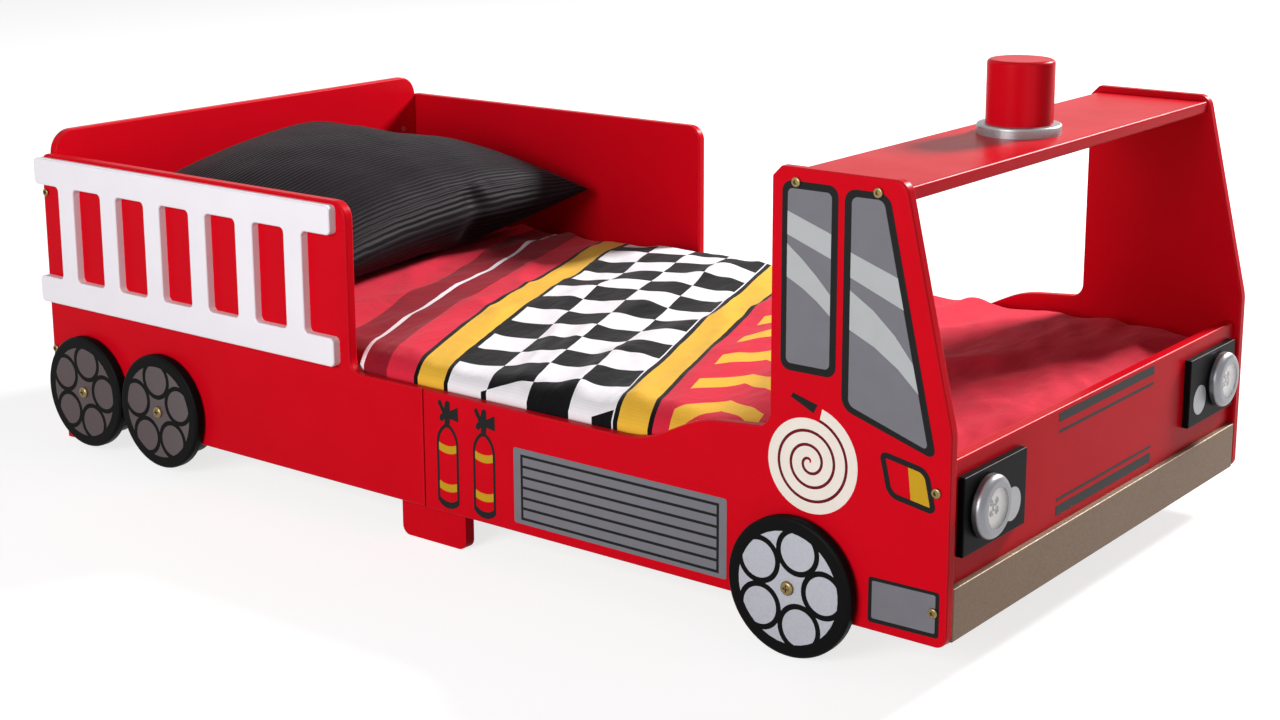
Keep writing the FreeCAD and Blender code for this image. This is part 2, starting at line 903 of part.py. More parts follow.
def light_batteries():
    """Three coin cells in the base."""
    cells = []
    for i in range(3):
        angle = math.pi / 2 + i * math.tau / 3
        start = V(base_back, battery_reach * math.cos(angle), battery_reach * math.sin(angle))
        cell = rod(start, V(1, 0, 0), battery_diameter, battery_height)
        cell.translate(light_origin)
        cells.append(cell)
    return Part.Compound(cells)


# Bedding
def mattress():
    """Foam mattress with rounded corners and edges."""
    x0 = head_face + mattress_end_gap
    half = mattress_width / 2
    solid = block(x0, x0 + mattress_length, -half, half, mattress_bottom, mattress_top)
    solid = ease(solid, mattress_corner, lambda edge: edge.BoundBox.ZLength > mattress_edge)
    return ease(solid, mattress_edge, lambda edge: lies_at(edge, "z", mattress_top)
                or lies_at(edge, "z", mattress_bottom))


def arched_slab(bottom, shoulder):
    """Slab over the bed with an arched top across its width."""
    half = inner_half - duvet_side_gap
    x0 = head_face + duvet_end_gap
    x1 = front_back - duvet_end_gap
    low_right = V(x0, -half, bottom)
    low_left = V(x0, half, bottom)
    high_left = V(x0, half, shoulder)
    high_right = V(x0, -half, shoulder)
    edges = [
        Part.LineSegment(low_right, low_left).toShape(),
        Part.LineSegment(low_left, high_left).toShape(),
        Part.Arc(high_left, V(x0, 0, shoulder + duvet_crown), high_right).toShape(),
        Part.LineSegment(high_right, low_right).toShape(),
    ]
    return Part.Face(Part.Wire(edges)).extrude(V(x1 - x0, 0, 0))


def duvet():
    """Duvet over the mattress, arched across the bed and rounded along its edges."""
    solid = arched_slab(duvet_bottom, duvet_shoulder)
    return ease(solid, duvet_round, lambda edge: edge.BoundBox.ZMin > duvet_shoulder - touching)


def pillow_section(place):
    """Cut through the pillow at a share of its half width: two arcs that meet at the seams."""
    swell = (1 - place**2)**pillow_swell
    reach = pillow_depth / 2 + pillow_corner_reach * place**2
    top = pillow_seam_edge + (pillow_crown - pillow_seam_edge) * swell
    belly = pillow_seam_edge + (pillow_belly - pillow_seam_edge) * swell
    y = place * (inner_half - pillow_side_gap)
    rear = V(-reach, y, 0)
    front = V(reach, y, 0)
    upper = Part.Arc(rear, V(0, y, top), front).toShape()
    lower = Part.Arc(front, V(0, y, -belly), rear).toShape()
    return Part.Wire([upper, lower])


def pillow():
    """Pillow leaning up to the headboard, drawn in along its sides and resting on the duvet."""
    solid = Part.makeLoft([pillow_section(place) for place in pillow_places], True, False)
    solid.translate(V(-pillow_depth / 2, 0, 0))
    solid.rotate(V(0, 0, 0), V(0, 1, 0), pillow_tilt)
    solid.translate(V(pillow_front_x, 0, duvet_top + pillow_front_lift))
    return solid.cut(arched_slab(0, duvet_shoulder + soft_gap))


nodes = {}


def add(name, shape):
    """Keep one node."""
    nodes[name] = shape


def add_pair(name, shape):
    """Keep a right-hand node and its left-hand mirror image."""
    right, left = both_sides(shape)
    add(name + "_r", right)
    add(name + "_l", left)


def with_foot_holes(solid):
    """Cut the screw holes into a foot board or an inner tyre."""
    for place in foot_screw_places:
        solid = solid.cut(foot_screw(place, fit))
    return solid


add_pair("side_rear", side_rear())
add_pair("side_front", side_front())
add("headboard", headboard())
add("front_panel", front_panel())
add("bumper", bumper())
add("roof_board", roof_board())
add("beacon_base", beacon_base())
add("beacon", beacon())
add("beacon_screw", beacon_screw())
add_pair("ladder", ladder())
add("ladder_dowels", mirrored_group([dowel(x, z) for x, z in dowel_places]))

add_pair("mid_foot", with_foot_holes(foot(mid_foot_rear, mid_foot_front, rail_top)))
add_pair("front_foot", with_foot_holes(foot(front_foot_rear, front_foot_front, rail_bottom)))
add("inner_tyres", mirrored_group([with_foot_holes(inner_tyre(place)) for place in (rear_wheel, mid_wheel)]))
add("foot_screws", mirrored_group([foot_screw(place) for place in foot_screw_places]))

for end, span in rail_spans.items():
    add_pair("slat_rail_" + end, slat_rail(span))
all_rail_screws = [rail_screw(x) for span in rail_spans.values() for x in rail_screw_places(span)]
add("rail_screws", mirrored_group(all_rail_screws))
add("slats", slats())

for end, place in wheel_places.items():
    add_pair("wheel_" + end, wheel(place))
add("wheel_screws", mirrored_group([wheel_screw(place) for place in wheel_places.values()]))
add("wheel_washers", mirrored_group([wheel_washer(place) for place in wheel_places.values()]))
add("wheel_inserts", mirrored_group([wheel_insert(place) for place in wheel_places.values()]))

add("headboard_bolts", mirrored_group([bolt(place) for place in headboard_bolts]))
add("front_panel_bolts", mirrored_group([bolt(place) for place in front_bolts]))
add("roof_bolts", mirrored_group([bolt(place) for place in roof_bolts]))
all_nuts = [drilled_nut(place, way, face) for group, way, face in bolt_sets for place in group]
add("barrel_nuts", mirrored_group(all_nuts))

add_pair("headlight_plate", headlight_plate())
front_screws = [front_screw(place, bumper_screw_bite) for place in bumper_screw_places]
front_screws += [front_screw(place, plate_screw_bite) for place in plate_screw_places]
add("front_board_screws", mirrored_group(front_screws))
add_pair("light_cap", light_cap())
add_pair("light_lens", light_lens())
add_pair("light_base", light_base())
add_pair("light_board", light_board())
add_pair("light_leds", light_leds())
add_pair("light_switch", light_switch())
add_pair("light_batteries", light_batteries())

add("mattress", mattress())
add("duvet", duvet())
add("pillow", pillow())

# The row's origin is on the floor under the middle of the whole length
rear_end = min(0, ladder_rear, rear_wheel_x - wheel_radius)
front_end = max(side_length, plate_front + cap_depth)
shift = V(-(rear_end + front_end) / 2, 0, 0)

os.makedirs("parts", exist_ok=True)
for name, shape in nodes.items():
    placed = shape.copy()
    placed.translate(shift)
    placed.exportStep("parts/" + name + ".step")
    box = placed.BoundBox
    low = [round(v, 1) for v in (box.XMin, box.YMin, box.ZMin)]
    high = [round(v, 1) for v in (box.XMax, box.YMax, box.ZMax)]
    print(name, len(placed.Solids), placed.isValid(), round(placed.Volume), low, high)
print(len(nodes), "nodes")
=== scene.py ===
# %% [markdown]
# # Fire engine bed
# A low bed for a small child, built from lacquered boards in the shape of a fire engine.
# The boards, wheels, lights and fasteners arrive as a finished frame. This lesson gives them their
# finishes, prints the pictures on the boards, makes the bedding and sets up a plain studio.

# %% Load the frame
import math
from collections import namedtuple

import bmesh
import bpy
from mathutils import Matrix, Vector, noise


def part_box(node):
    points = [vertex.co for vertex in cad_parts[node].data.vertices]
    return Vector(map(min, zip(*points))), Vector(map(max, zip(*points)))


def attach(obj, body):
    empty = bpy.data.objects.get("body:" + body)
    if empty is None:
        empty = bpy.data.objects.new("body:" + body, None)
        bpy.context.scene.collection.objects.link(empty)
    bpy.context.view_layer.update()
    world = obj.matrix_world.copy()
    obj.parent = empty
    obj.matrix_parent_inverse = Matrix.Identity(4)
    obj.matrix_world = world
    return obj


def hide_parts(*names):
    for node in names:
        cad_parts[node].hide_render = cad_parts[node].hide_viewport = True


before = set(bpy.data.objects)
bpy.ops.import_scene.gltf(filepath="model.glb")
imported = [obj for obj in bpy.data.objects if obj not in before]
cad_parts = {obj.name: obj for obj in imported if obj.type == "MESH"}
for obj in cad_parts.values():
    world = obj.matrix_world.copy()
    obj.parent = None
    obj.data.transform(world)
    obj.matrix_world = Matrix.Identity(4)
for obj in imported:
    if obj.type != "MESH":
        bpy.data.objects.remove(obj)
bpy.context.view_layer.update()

# %% [markdown]
# ## Tools for the finishes
# Sizes are written in millimetres and colours as the hex values of a colour picker. Blender counts
# in metres and mixes light in linear colour, so two small functions translate. A third adds a
# shader node, sets it up and links it, which keeps each finish short enough to read as a recipe.

# %% Units, colours and nodes
MM = 0.001
SIDES = ("_r", "_l")
# A Mix node for colours takes them in sockets 6 and 7 and gives its result in output 2
COLOURS = {"data_type": "RGBA"}


def linear(hex_colour):
    """Linear RGBA of an sRGB hex colour."""
    channels = [int(hex_colour[i:i + 2], 16) / 255 for i in (1, 3, 5)]
    bent = [c / 12.92 if c <= 0.04045 else ((c + 0.055) / 1.055) ** 2.4 for c in channels]
    return (*bent, 1.0)


def per_metre(size_mm):
    """Texture scale for a pattern whose cells are this many millimetres wide."""
    return 1 / (size_mm * MM)


def plug(node, inputs):
    """Set a node's inputs: each is a hex colour, a plain value or another node's output."""
    for socket, value in inputs.items():
        if isinstance(value, bpy.types.NodeSocket):
            node.id_data.links.new(value, node.inputs[socket])
        else:
            value = linear(value) if isinstance(value, str) else value
            node.inputs[socket].default_value = value


def add_node(tree, kind, settings={}, inputs={}):
    """Add one node with its settings and links."""
    made = tree.nodes.new("ShaderNode" + kind)
    for name, value in settings.items():
        setattr(made, name, value)
    plug(made, inputs)
    return made


def empty_tree(owner):
    """Cleared node tree of a material or a world."""
    owner.use_nodes = True
    owner.node_tree.nodes.clear()
    return owner.node_tree


def start_material(name, **surface_values):
    """Material with a Principled surface; the values go straight to its sockets."""
    material = bpy.data.materials.new(name)
    tree = empty_tree(material)
    surface = add_node(tree, "BsdfPrincipled", {}, surface_values)
    add_node(tree, "OutputMaterial", {}, {"Surface": surface.outputs["BSDF"]})
    return material, tree, surface


def finish_nodes(material, *names):
    """Give CAD nodes this finish in place of the one they came with."""
    for name in names:
        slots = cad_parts[name].data.materials
        slots.clear()
        slots.append(material)


def sides(*names):
    """Right-hand and left-hand node of each name."""
    return [name + side for name in names for side in SIDES]


# %% [markdown]
# ## Lacquered boards
# The boards are fibreboard, sealed and sprayed. Sprayed lacquer is smooth but not flat: it has a
# faint orange peel, and hands and cleaning leave the gloss slightly uneven. A noise a few
# centimetres wide moves the roughness and the tone, a finer one bends the reflections. Where a
# board's surface turns away from its flat faces the tone is a little lighter: partly rubbed wear on
# the rounded edges, partly a painted highlight along them.

# %% Lacquer
def lacquer(name, tone, shade, rubbed_highlight, gloss, shine):
    """Sprayed lacquer in two close colours; edges lighter from wear and a painted highlight."""
    material, tree, surface = start_material(name, **{"IOR": 1.5, "Specular IOR Level": shine})
    place = add_node(tree, "TexCoord").outputs["Object"]
    cloud = add_node(tree, "TexNoise", {}, {
        "Vector": place, "Scale": per_metre(90), "Detail": 4.0, "Roughness": 0.6}).outputs["Fac"]
    body = add_node(tree, "Mix", COLOURS, {0: cloud, 6: tone, 7: shade}).outputs[2]
    normal = add_node(tree, "NewGeometry").outputs["Normal"]
    turned = add_node(tree, "VectorMath", {"operation": "ABSOLUTE"}, {0: normal}).outputs[0]
    widest, *others = add_node(tree, "SeparateXYZ", {}, {0: turned}).outputs
    for axis in others:
        widest = add_node(tree, "Math", {"operation": "MAXIMUM"}, {0: widest, 1: axis}).outputs[0]
    # Lighter where the surface turns from the flat faces: rubbed edges and a painted highlight
    edge = add_node(tree, "MapRange", {"interpolation_type": "SMOOTHSTEP"}, {
        "Value": widest, "From Min": 0.92, "From Max": 0.75, "To Min": 0.0, "To Max": 0.4})
    coloured = add_node(tree, "Mix", COLOURS, {0: edge.outputs[0], 6: body, 7: rubbed_highlight})
    uneven = add_node(tree, "MapRange", {}, {
        "Value": cloud, "To Min": gloss - 0.05, "To Max": gloss + 0.07})
    # Real orange peel is 2 to 3 mm wide; it is drawn at 7 mm so that it shows
    peel = add_node(tree, "TexNoise", {}, {"Vector": place, "Scale": per_metre(7), "Detail": 2.0})
    bump = add_node(tree, "Bump", {}, {
        "Height": peel.outputs["Fac"], "Strength": 0.05, "Distance": 0.5 * MM})
    plug(surface, {"Base Color": coloured.outputs[2], "Roughness": uneven.outputs[0],
                   "Normal": bump.outputs[0]})
    return material


# The third colour of each lacquer is its edges': rubbed wear and a painted highlight
red_lacquer = lacquer("red_lacquered_fibreboard", "#CC081B", "#BF0617", "#D92832", 0.30, 0.03)
white_lacquer = lacquer("white_lacquered_fibreboard", "#EDE9EE", "#E4E0E6", "#F2EFF2", 0.40, 0.2)
black_lacquer = lacquer("black_lacquered_fibreboard", "#0F0E0F", "#0B0A0B", "#161516", 0.40, 0.04)

finish_nodes(red_lacquer, "headboard", "front_panel", "roof_board", "beacon",
             *sides("side_rear", "side_front", "mid_foot", "front_foot"))
finish_nodes(white_lacquer, *sides("ladder"))
finish_nodes(black_lacquer, "inner_tyres",
             *sides("wheel_rear", "wheel_mid", "wheel_front", "headlight_plate"))
print("lacquered", red_lacquer.name, white_lacquer.name, black_lacquer.name)

# %% [markdown]
# ## Silver lacquer
# The bumper and the beacon's foot are sprayed with aluminium paint. Its flakes lie at slightly
# different angles, so the surface glitters softly. A cell pattern gives each flake its own tone and
# tilt.

# %% Aluminium paint
def aluminium_paint(name, tone, shade, gloss, flop_and_shade=None):
    """Metallic lacquer whose flakes catch the light; aslant it may darken, partly a painted shade.
    """
    material, tree, surface = start_material(name, Metallic=0.75)
    place = add_node(tree, "TexCoord").outputs["Object"]
    # Real flakes are about 0.05 mm; they are drawn at 1.2 mm so that they show
    flakes = add_node(tree, "TexVoronoi", {}, {"Vector": place, "Scale": per_metre(1.2)})
    spark = add_node(tree, "SeparateColor", {}, {0: flakes.outputs["Color"]}).outputs
    cloud = add_node(tree, "TexNoise", {}, {
        "Vector": place, "Scale": per_metre(60), "Detail": 3.0}).outputs["Fac"]
    blend = add_node(tree, "Mix", {}, {0: 0.45, 2: spark[0], 3: cloud}).outputs[0]
    colour = add_node(tree, "Mix", COLOURS, {0: blend, 6: tone, 7: shade}).outputs[2]
    # Seen aslant the colour falls to a darker tone: the paint's own fall-off, used on the hubs as
    # painted shade
    if flop_and_shade:
        aslant = add_node(tree, "LayerWeight").outputs["Facing"]
        turned = add_node(tree, "MapRange", {"interpolation_type": "SMOOTHSTEP"}, {
            "Value": aslant, "From Min": 0.22, "From Max": 0.42}).outputs[0]
        colour = add_node(tree, "Mix", COLOURS, {0: turned, 6: colour, 7: flop_and_shade}).outputs[2]
    uneven = add_node(tree, "MapRange", {}, {
        "Value": spark[1], "To Min": gloss - 0.08, "To Max": gloss + 0.10})
    bump = add_node(tree, "Bump", {}, {"Height": spark[2], "Strength": 0.12, "Distance": 0.1 * MM})
    plug(surface, {"Base Color": colour, "Roughness": uneven.outputs[0], "Normal": bump.outputs[0]})
    return material


bumper_paint = aluminium_paint("warm_aluminium_paint", "#76624F", "#685545", 0.56)
base_paint = aluminium_paint("bright_aluminium_paint", "#A3A2A4", "#8B8B8E", 0.36)
# The hubs fall to a brown grey when seen aslant, a painted shade that darkens the rear hubs
hub_paint = aluminium_paint("cool_aluminium_paint", "#AEAFB7", "#9E9FA7", 0.45, "#544849")
finish_nodes(bumper_paint, "bumper")
finish_nodes(base_paint, "beacon_base")
print("painted", bumper_paint.name, base_paint.name)

# %% [markdown]
# ## Softwood, metal and plastic
# Slats, rails and dowels are planed pine, whose rings show as long streaks. Noise stretched along
# the board draws them. Bolts are brass plated, hidden screws zinc plated, and both have fine wear
# marks.

# %% Pine
def pine(name, grain_axis):
    """Planed softwood with streaks along one axis."""
    material, tree, surface = start_material(name, Roughness=0.62, IOR=1.45)
    place = add_node(tree, "TexCoord").outputs["Object"]
    stretch = [1.0, 1.0, 1.0]
    stretch[grain_axis] = 0.04
    along = add_node(tree, "Mapping", {}, {"Vector": place, "Scale": stretch}).outputs[0]
    rings = add_node(tree, "TexNoise", {}, {
        "Vector": along, "Scale": per_metre(9), "Detail": 5.0, "Distortion": 1.2}).outputs["Fac"]
    colour = add_node(tree, "Mix", COLOURS, {0: rings, 6: "#E2C08F", 7: "#BB8A52"})
    bump = add_node(tree, "Bump", {}, {"Height": rings, "Strength": 0.2, "Distance": 0.3 * MM})
    plug(surface, {"Base Color": colour.outputs[2], "Normal": bump.outputs[0]})
    return material


finish_nodes(pine("pine_along_the_bed", 0), *sides("slat_rail_rear", "slat_rail_front"))
finish_nodes(pine("pine_across_the_bed", 1), "slats", "ladder_dowels")
print("rails, slats and dowels are pine")


# %% Plated metal
def plated(name, bright, dull, roughness):
    """Plated steel: a metal whose tone and gloss vary with handling marks."""
    material, tree, surface = start_material(name, Metallic=1.0)
    place = add_node(tree, "TexCoord").outputs["Object"]
    marks = add_node(tree, "TexNoise", {}, {
        "Vector": place, "Scale": per_metre(2.5), "Detail": 6.0}).outputs["Fac"]
    colour = add_node(tree, "Mix", COLOURS, {0: marks, 6: bright, 7: dull})
    uneven = add_node(tree, "MapRange", {}, {
        "Value": marks, "To Min": roughness - 0.04, "To Max": roughness + 0.06})
    plug(surface, {"Base Color": colour.outputs[2], "Roughness": uneven.outputs[0]})
    return material


brass = plated("brass_plated_steel", "#9C8A60", "#6B5B3B", 0.26)
zinc = plated("zinc_plated_steel", "#C3C7CB", "#9A9EA2", 0.34)
satin_chrome = plated("satin_chrome_plated_abs", "#858589", "#7C7C80", 0.33)
finish_nodes(brass, "wheel_screws", "headboard_bolts", "front_panel_bolts", "roof_bolts",
             "wheel_inserts")
finish_nodes(zinc, "beacon_screw", "foot_screws", "rail_screws", "wheel_washers", "barrel_nuts",
             "front_board_screws")
finish_nodes(satin_chrome, *sides("light_cap"))
print("plated", brass.name, zinc.name, satin_chrome.name)

# %% [markdown]
# ## Inside the push lights
# Each light has a clear polystyrene lens with fine ribs running out from its middle, moulded to
# spread the light of four small lamps. The ribs are a bump that follows the angle around the lens.
# A Mapping node puts the middle of the pattern on the lens and turns it to face forwards.

# %% Light parts
def ribbed_lens(side):
    """Clear polystyrene with moulded ribs around the light's own axis."""
    material, tree, surface = start_material("clear_polystyrene" + side, **{
        "Roughness": 0.03, "IOR": 1.59, "Transmission Weight": 1.0})
    low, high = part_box("light_lens" + side)
    place = add_node(tree, "TexCoord").outputs["Object"]
    facing = add_node(tree, "Mapping", {"vector_type": "TEXTURE"}, {
        "Vector": place, "Location": (low + high) / 2, "Rotation": (0, math.pi / 2, 0)})
    angle = add_node(tree, "TexGradient", {"gradient_type": "RADIAL"}, {
        "Vector": facing.outputs[0]})
    ribs_around = 40
    turn = add_node(tree, "Math", {"operation": "MULTIPLY"}, {
        0: angle.outputs["Fac"], 1: ribs_around})
    rib = add_node(tree, "Math", {"operation": "PINGPONG"}, {0: turn.outputs[0], 1: 0.5}).outputs[0]
    colour = add_node(tree, "Mix", COLOURS, {0: rib, 6: "#FFFFFF", 7: "#EAE6E7"})
    bump = add_node(tree, "Bump", {}, {"Height": rib, "Strength": 0.02, "Distance": 0.5 * MM})
    plug(surface, {"Base Color": colour.outputs[2], "Normal": bump.outputs[0]})
    return material


def moulded(name, tone, shade, grain_mm, roughness):
    """Moulded plastic with a fine grained surface."""
    material, tree, surface = start_material(name, Roughness=roughness, IOR=1.5)
    place = add_node(tree, "TexCoord").outputs["Object"]
    grain = add_node(tree, "TexNoise", {}, {
        "Vector": place, "Scale": per_metre(grain_mm), "Detail": 3.0}).outputs["Fac"]
    colour = add_node(tree, "Mix", COLOURS, {0: grain, 6: tone, 7: shade})
    bump = add_node(tree, "Bump", {}, {"Height": grain, "Strength": 0.15, "Distance": 0.2 * MM})
    plug(surface, {"Base Color": colour.outputs[2], "Normal": bump.outputs[0]})
    return material


for side in SIDES:
    finish_nodes(ribbed_lens(side), "light_lens" + side)
finish_nodes(moulded("moulded_black_abs", "#1B1B1C", "#242425", 1.2, 0.5),
             *sides("light_base", "light_switch"))
finish_nodes(moulded("white_circuit_board", "#E4E0DC", "#D2CCC8", 3.0, 0.45), *sides("light_board"))
finish_nodes(moulded("lamp_resin", "#171616", "#242323", 1.5, 0.12), *sides("light_leds"))
finish_nodes(zinc, *sides("light_batteries"))
print("lights finished")

# %% [markdown]
# ## Pictures on the boards
# Windows, air slots, hose and extinguishers are screen printed: flat films of ink, each colour with
# a crisp edge. Thin meshes keep those edges sharp at any distance, so each picture is drawn as flat
# faces on a board and then given the thickness of a film. A drawing board is a point, two directions
# to draw along and the direction that faces outwards, so one drawing serves both sides of the bed.

# %% Inks
def ink(name, tone, shade):
    """Screen printing ink; the mesh it is pressed through leaves a faint grid of dots."""
    material, tree, surface = start_material(name, **{
        "Roughness": 0.4, "IOR": 1.5, "Specular IOR Level": 0.1})
    place = add_node(tree, "TexCoord").outputs["Object"]
    cloud = add_node(tree, "TexNoise", {}, {
        "Vector": place, "Scale": per_metre(25), "Detail": 4.0}).outputs["Fac"]
    colour = add_node(tree, "Mix", COLOURS, {0: cloud, 6: tone, 7: shade})
    # Real screen dots are 0.1 mm apart; they are drawn at 1.5 mm so that they show
    dots = add_node(tree, "TexVoronoi", {}, {
        "Vector": place, "Scale": per_metre(1.5), "Randomness": 0.3}).outputs["Distance"]
    bump = add_node(tree, "Bump", {}, {"Height": dots, "Strength": 0.08, "Distance": 0.1 * MM})
    plug(surface, {"Base Color": colour.outputs[2], "Normal": bump.outputs[0]})
    return material


black_ink = ink("black_screen_ink", "#181718", "#131213")
grey_ink = ink("grey_screen_ink", "#75747A", "#6D6C71")
light_ink = ink("light_grey_screen_ink", "#B0B2B3", "#A7A9AA")
yellow_ink = ink("yellow_screen_ink", "#C2981F", "#B68C18")
cream_ink = ink("cream_screen_ink", "#E8DED4", "#DFD5CA")
maroon_ink = ink("maroon_screen_ink", "#6A0D17", "#5C0A13")
print("inks mixed")

# %% Drawing boards
DrawingBoard = namedtuple("DrawingBoard", "origin across up outward")
rear_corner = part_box("side_rear_r")[0]
front_low, front_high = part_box("front_panel")
up = Vector((0, 0, 1))
forward = Vector((1, 0, 0))
rightwards = Vector((0, -1, 0))
side_boards = {
    "_r": DrawingBoard(rear_corner, forward, up, rightwards),
    "_l": DrawingBoard(rear_corner * Vector((1, -1, 1)), forward, up, -rightwards),
}
front_board = DrawingBoard(Vector((front_high.x, 0, front_low.z)), -rightwards, up, forward)


def spot(board, point, lift=0.0):
    """Place on a drawing board, from millimetres across and up."""
    across, upwards = point
    flat = board.origin + (board.across * across + board.up * upwards) * MM
    return flat + board.outward * lift * MM


print("drawing boards", list(side_boards), "and the front panel")

# %% Outlines
arc_step = math.radians(9)


def circle_through(a, b, c):
    """Centre of the circle through three points, and the angle from a past b to c."""
    ax, ay = a[0] - c[0], a[1] - c[1]
    bx, by = b[0] - c[0], b[1] - c[1]
    twice = 2 * (ax * by - ay * bx)
    first, second = ax * ax + ay * ay, bx * bx + by * by
    centre = (c[0] + (by * first - ay * second) / twice, c[1] + (ax * second - bx * first) / twice)
    start, middle, end = (math.atan2(p[1] - centre[1], p[0] - centre[0]) for p in (a, b, c))
    middle, end = (middle - start) % math.tau, (end - start) % math.tau
    return centre, end if middle < end else end - math.tau


def draw(bm, board, path, lift=0.0):
    """Closed loop of edges: a corner is (across, up), an arc is (middle, end)."""
    first = bm.verts.new(spot(board, path[0], lift))
    here, last = path[0], first
    for step in path[1:]:
        if isinstance(step[0], tuple):
            centre, angle = circle_through(here, *step)
            arc = bmesh.ops.spin(bm, geom=[last], cent=spot(board, centre, lift), angle=angle,
                                 steps=max(3, round(abs(angle) / arc_step)),
                                 axis=board.across.cross(board.up))
            last, here = arc["geom_last"][0], step[1]
        else:
            corner = bm.verts.new(spot(board, step, lift))
            bm.edges.new((last, corner))
            last, here = corner, step
    if (last.co - first.co).length > 0.01 * MM:
        bm.edges.new((last, first))
    bmesh.ops.remove_doubles(bm, verts=bm.verts, dist=0.02 * MM)


def fill(bm, ink_number=0):
    """Faces inside the loops that have none yet."""
    loose = [edge for edge in bm.edges if not edge.link_faces]
    made = bmesh.ops.edgeloop_fill(bm, edges=loose)["faces"]
    for face in made:
        face.material_index = ink_number
    return made


def round_corners(bm, corners, radius):
    """Round the corners of a drawing that is still one face."""
    bmesh.ops.bevel(bm, geom=corners, offset=radius * MM, offset_type="OFFSET", segments=6,
                    profile=0.5, affect="VERTICES", material=-1)


def framed(bm, width, inside):
    """Inset the drawing's faces; the rim keeps its ink and the middle takes another."""
    middle = bm.faces[:]
    bmesh.ops.inset_region(bm, faces=middle, thickness=width * MM, use_boundary=True,
                           use_even_offset=True)
    for face in middle:
        face.material_index = inside
    return middle


# %% Films
film_thickness = 0.25


def put_in_scene(name, bm, materials=()):
    """Turn a bmesh into an object of the scene."""
    mesh = bpy.data.meshes.new(name)
    bm.to_mesh(mesh)
    bm.free()
    for material in materials:
        mesh.materials.append(material)
    made = bpy.data.objects.new(name, mesh)
    bpy.context.scene.collection.objects.link(made)
    return made


def piece(name, bm, materials, body="bed"):
    """Turn a bmesh into a piece that rides on a body."""
    made = put_in_scene(name, bm, materials)
    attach(made, body)
    return made


def film(name, bm, board, inks, body="bed"):
    """Give the drawing its thickness, make it a piece and let it ride on its board."""
    made = bmesh.ops.extrude_face_region(bm, geom=bm.faces[:], use_keep_orig=True)
    raised = [v for v in made["geom"] if isinstance(v, bmesh.types.BMVert)]
    bmesh.ops.translate(bm, verts=raised, vec=board.outward * film_thickness * MM)
    bmesh.ops.recalc_face_normals(bm, faces=bm.faces)
    piece(name, bm, inks, body)


# %% [markdown]
# ## Cab windows
# Two windows on each cab side have a black frame, grey glass and two paler reflections. Two outlines
# with rounded corners are drawn, the space between them is filled for the frame, and the reflections
# are drawn on top as films of their own.

# %% Windows
rear_window = [(1252.5, 266.5), (1321.5, 266.5), (1321.5, 470), (1252.5, 470)]
rear_glass = [(1259.5, 274.5), (1313.5, 274.5), (1313.5, 462), (1259.5, 462)]
front_window = [(1329, 236.5), (1443.9, 201.1), (1381.8, 469.4), (1329, 469)]
front_glass = [(1337.5, 241.4), (1433.6, 210.3), (1375.3, 461.7), (1337.5, 461.5)]
rear_shine = [
    [(1259.5, 437.8), (1313.5, 419.3), (1313.5, 393.2), (1259.5, 412.8)],
    [(1259.5, 403), ((1286.9, 381.2), (1313.5, 355)),
     (1313.5, 332.4), ((1286.9, 352.9), (1259.5, 367.4))],
]
front_shine = [
    [(1337.5, 403.4), (1393.5, 384.3), (1401.2, 351.9), (1337.5, 377.1)],
    [(1337.5, 363.8), ((1381.1, 334), (1413.5, 297.8)),
     (1420.7, 267.3), ((1383.4, 298.8), (1337.5, 322))],
]


def framed_print(name, board, outer, inner, radii):
    """Black frame between two outlines with rounded corners, and a grey field inside it."""
    bm = bmesh.new()
    for corners, radius in zip((outer, inner), radii):
        draw(bm, board, corners)
        round_corners(bm, fill(bm)[0].verts[:], radius)
    rim = max(bm.faces, key=lambda face: face.calc_area())
    bmesh.ops.delete(bm, geom=[rim], context="FACES_ONLY")
    for face in bm.faces:
        face.material_index = 1
    bmesh.ops.triangle_fill(bm, use_beauty=True, edges=bm.edges[:])
    film(name, bm, board, [black_ink, grey_ink])


def window_shine(name, board, bands):
    """Pale reflections as a second film over the glass."""
    bm = bmesh.new()
    for band in bands:
        draw(bm, board, band, film_thickness)
        fill(bm)
    film(name, bm, board, [light_ink])


for side, board in side_boards.items():
    framed_print("rear_window_print" + side, board, rear_window, rear_glass, (12, 6))
    framed_print("front_window_print" + side, board, front_window, front_glass, (13, 7))
    window_shine("rear_window_shine" + side, board, rear_shine)
    window_shine("front_window_shine" + side, board, front_shine)
print("windows printed")

# %% [markdown]
# ## Air slots, number plate and indicator
# The grey air intake is printed first, and black lines over it. The lines are one black rectangle:
# its rim is inset, the middle is cut with level planes, and every strip between two lines is taken
# out. The indicator lamp is cut in the same way into a yellow half and one where the board's red
# shows.

# %% Air intake
intake = [(874.5, 12.7), (1184.3, 12.7), (1184.3, 106.3), (874.5, 106.3)]
intake_corner = 3
slot_frame = [(885.5, 18), (1174, 18), (1174, 99.2), (885.5, 99.2)]
slot_line = 3.2
slot_count = 6


def split(bm, faces, place, direction):
    """Cut some faces with a plane and return all the faces they became."""
    geometry = {part for face in faces for part in (face, *face.edges, *face.verts)}
    cut = bmesh.ops.bisect_plane(bm, geom=list(geometry), plane_co=place, plane_no=direction)
    return [part for part in cut["geom"] if isinstance(part, bmesh.types.BMFace)]


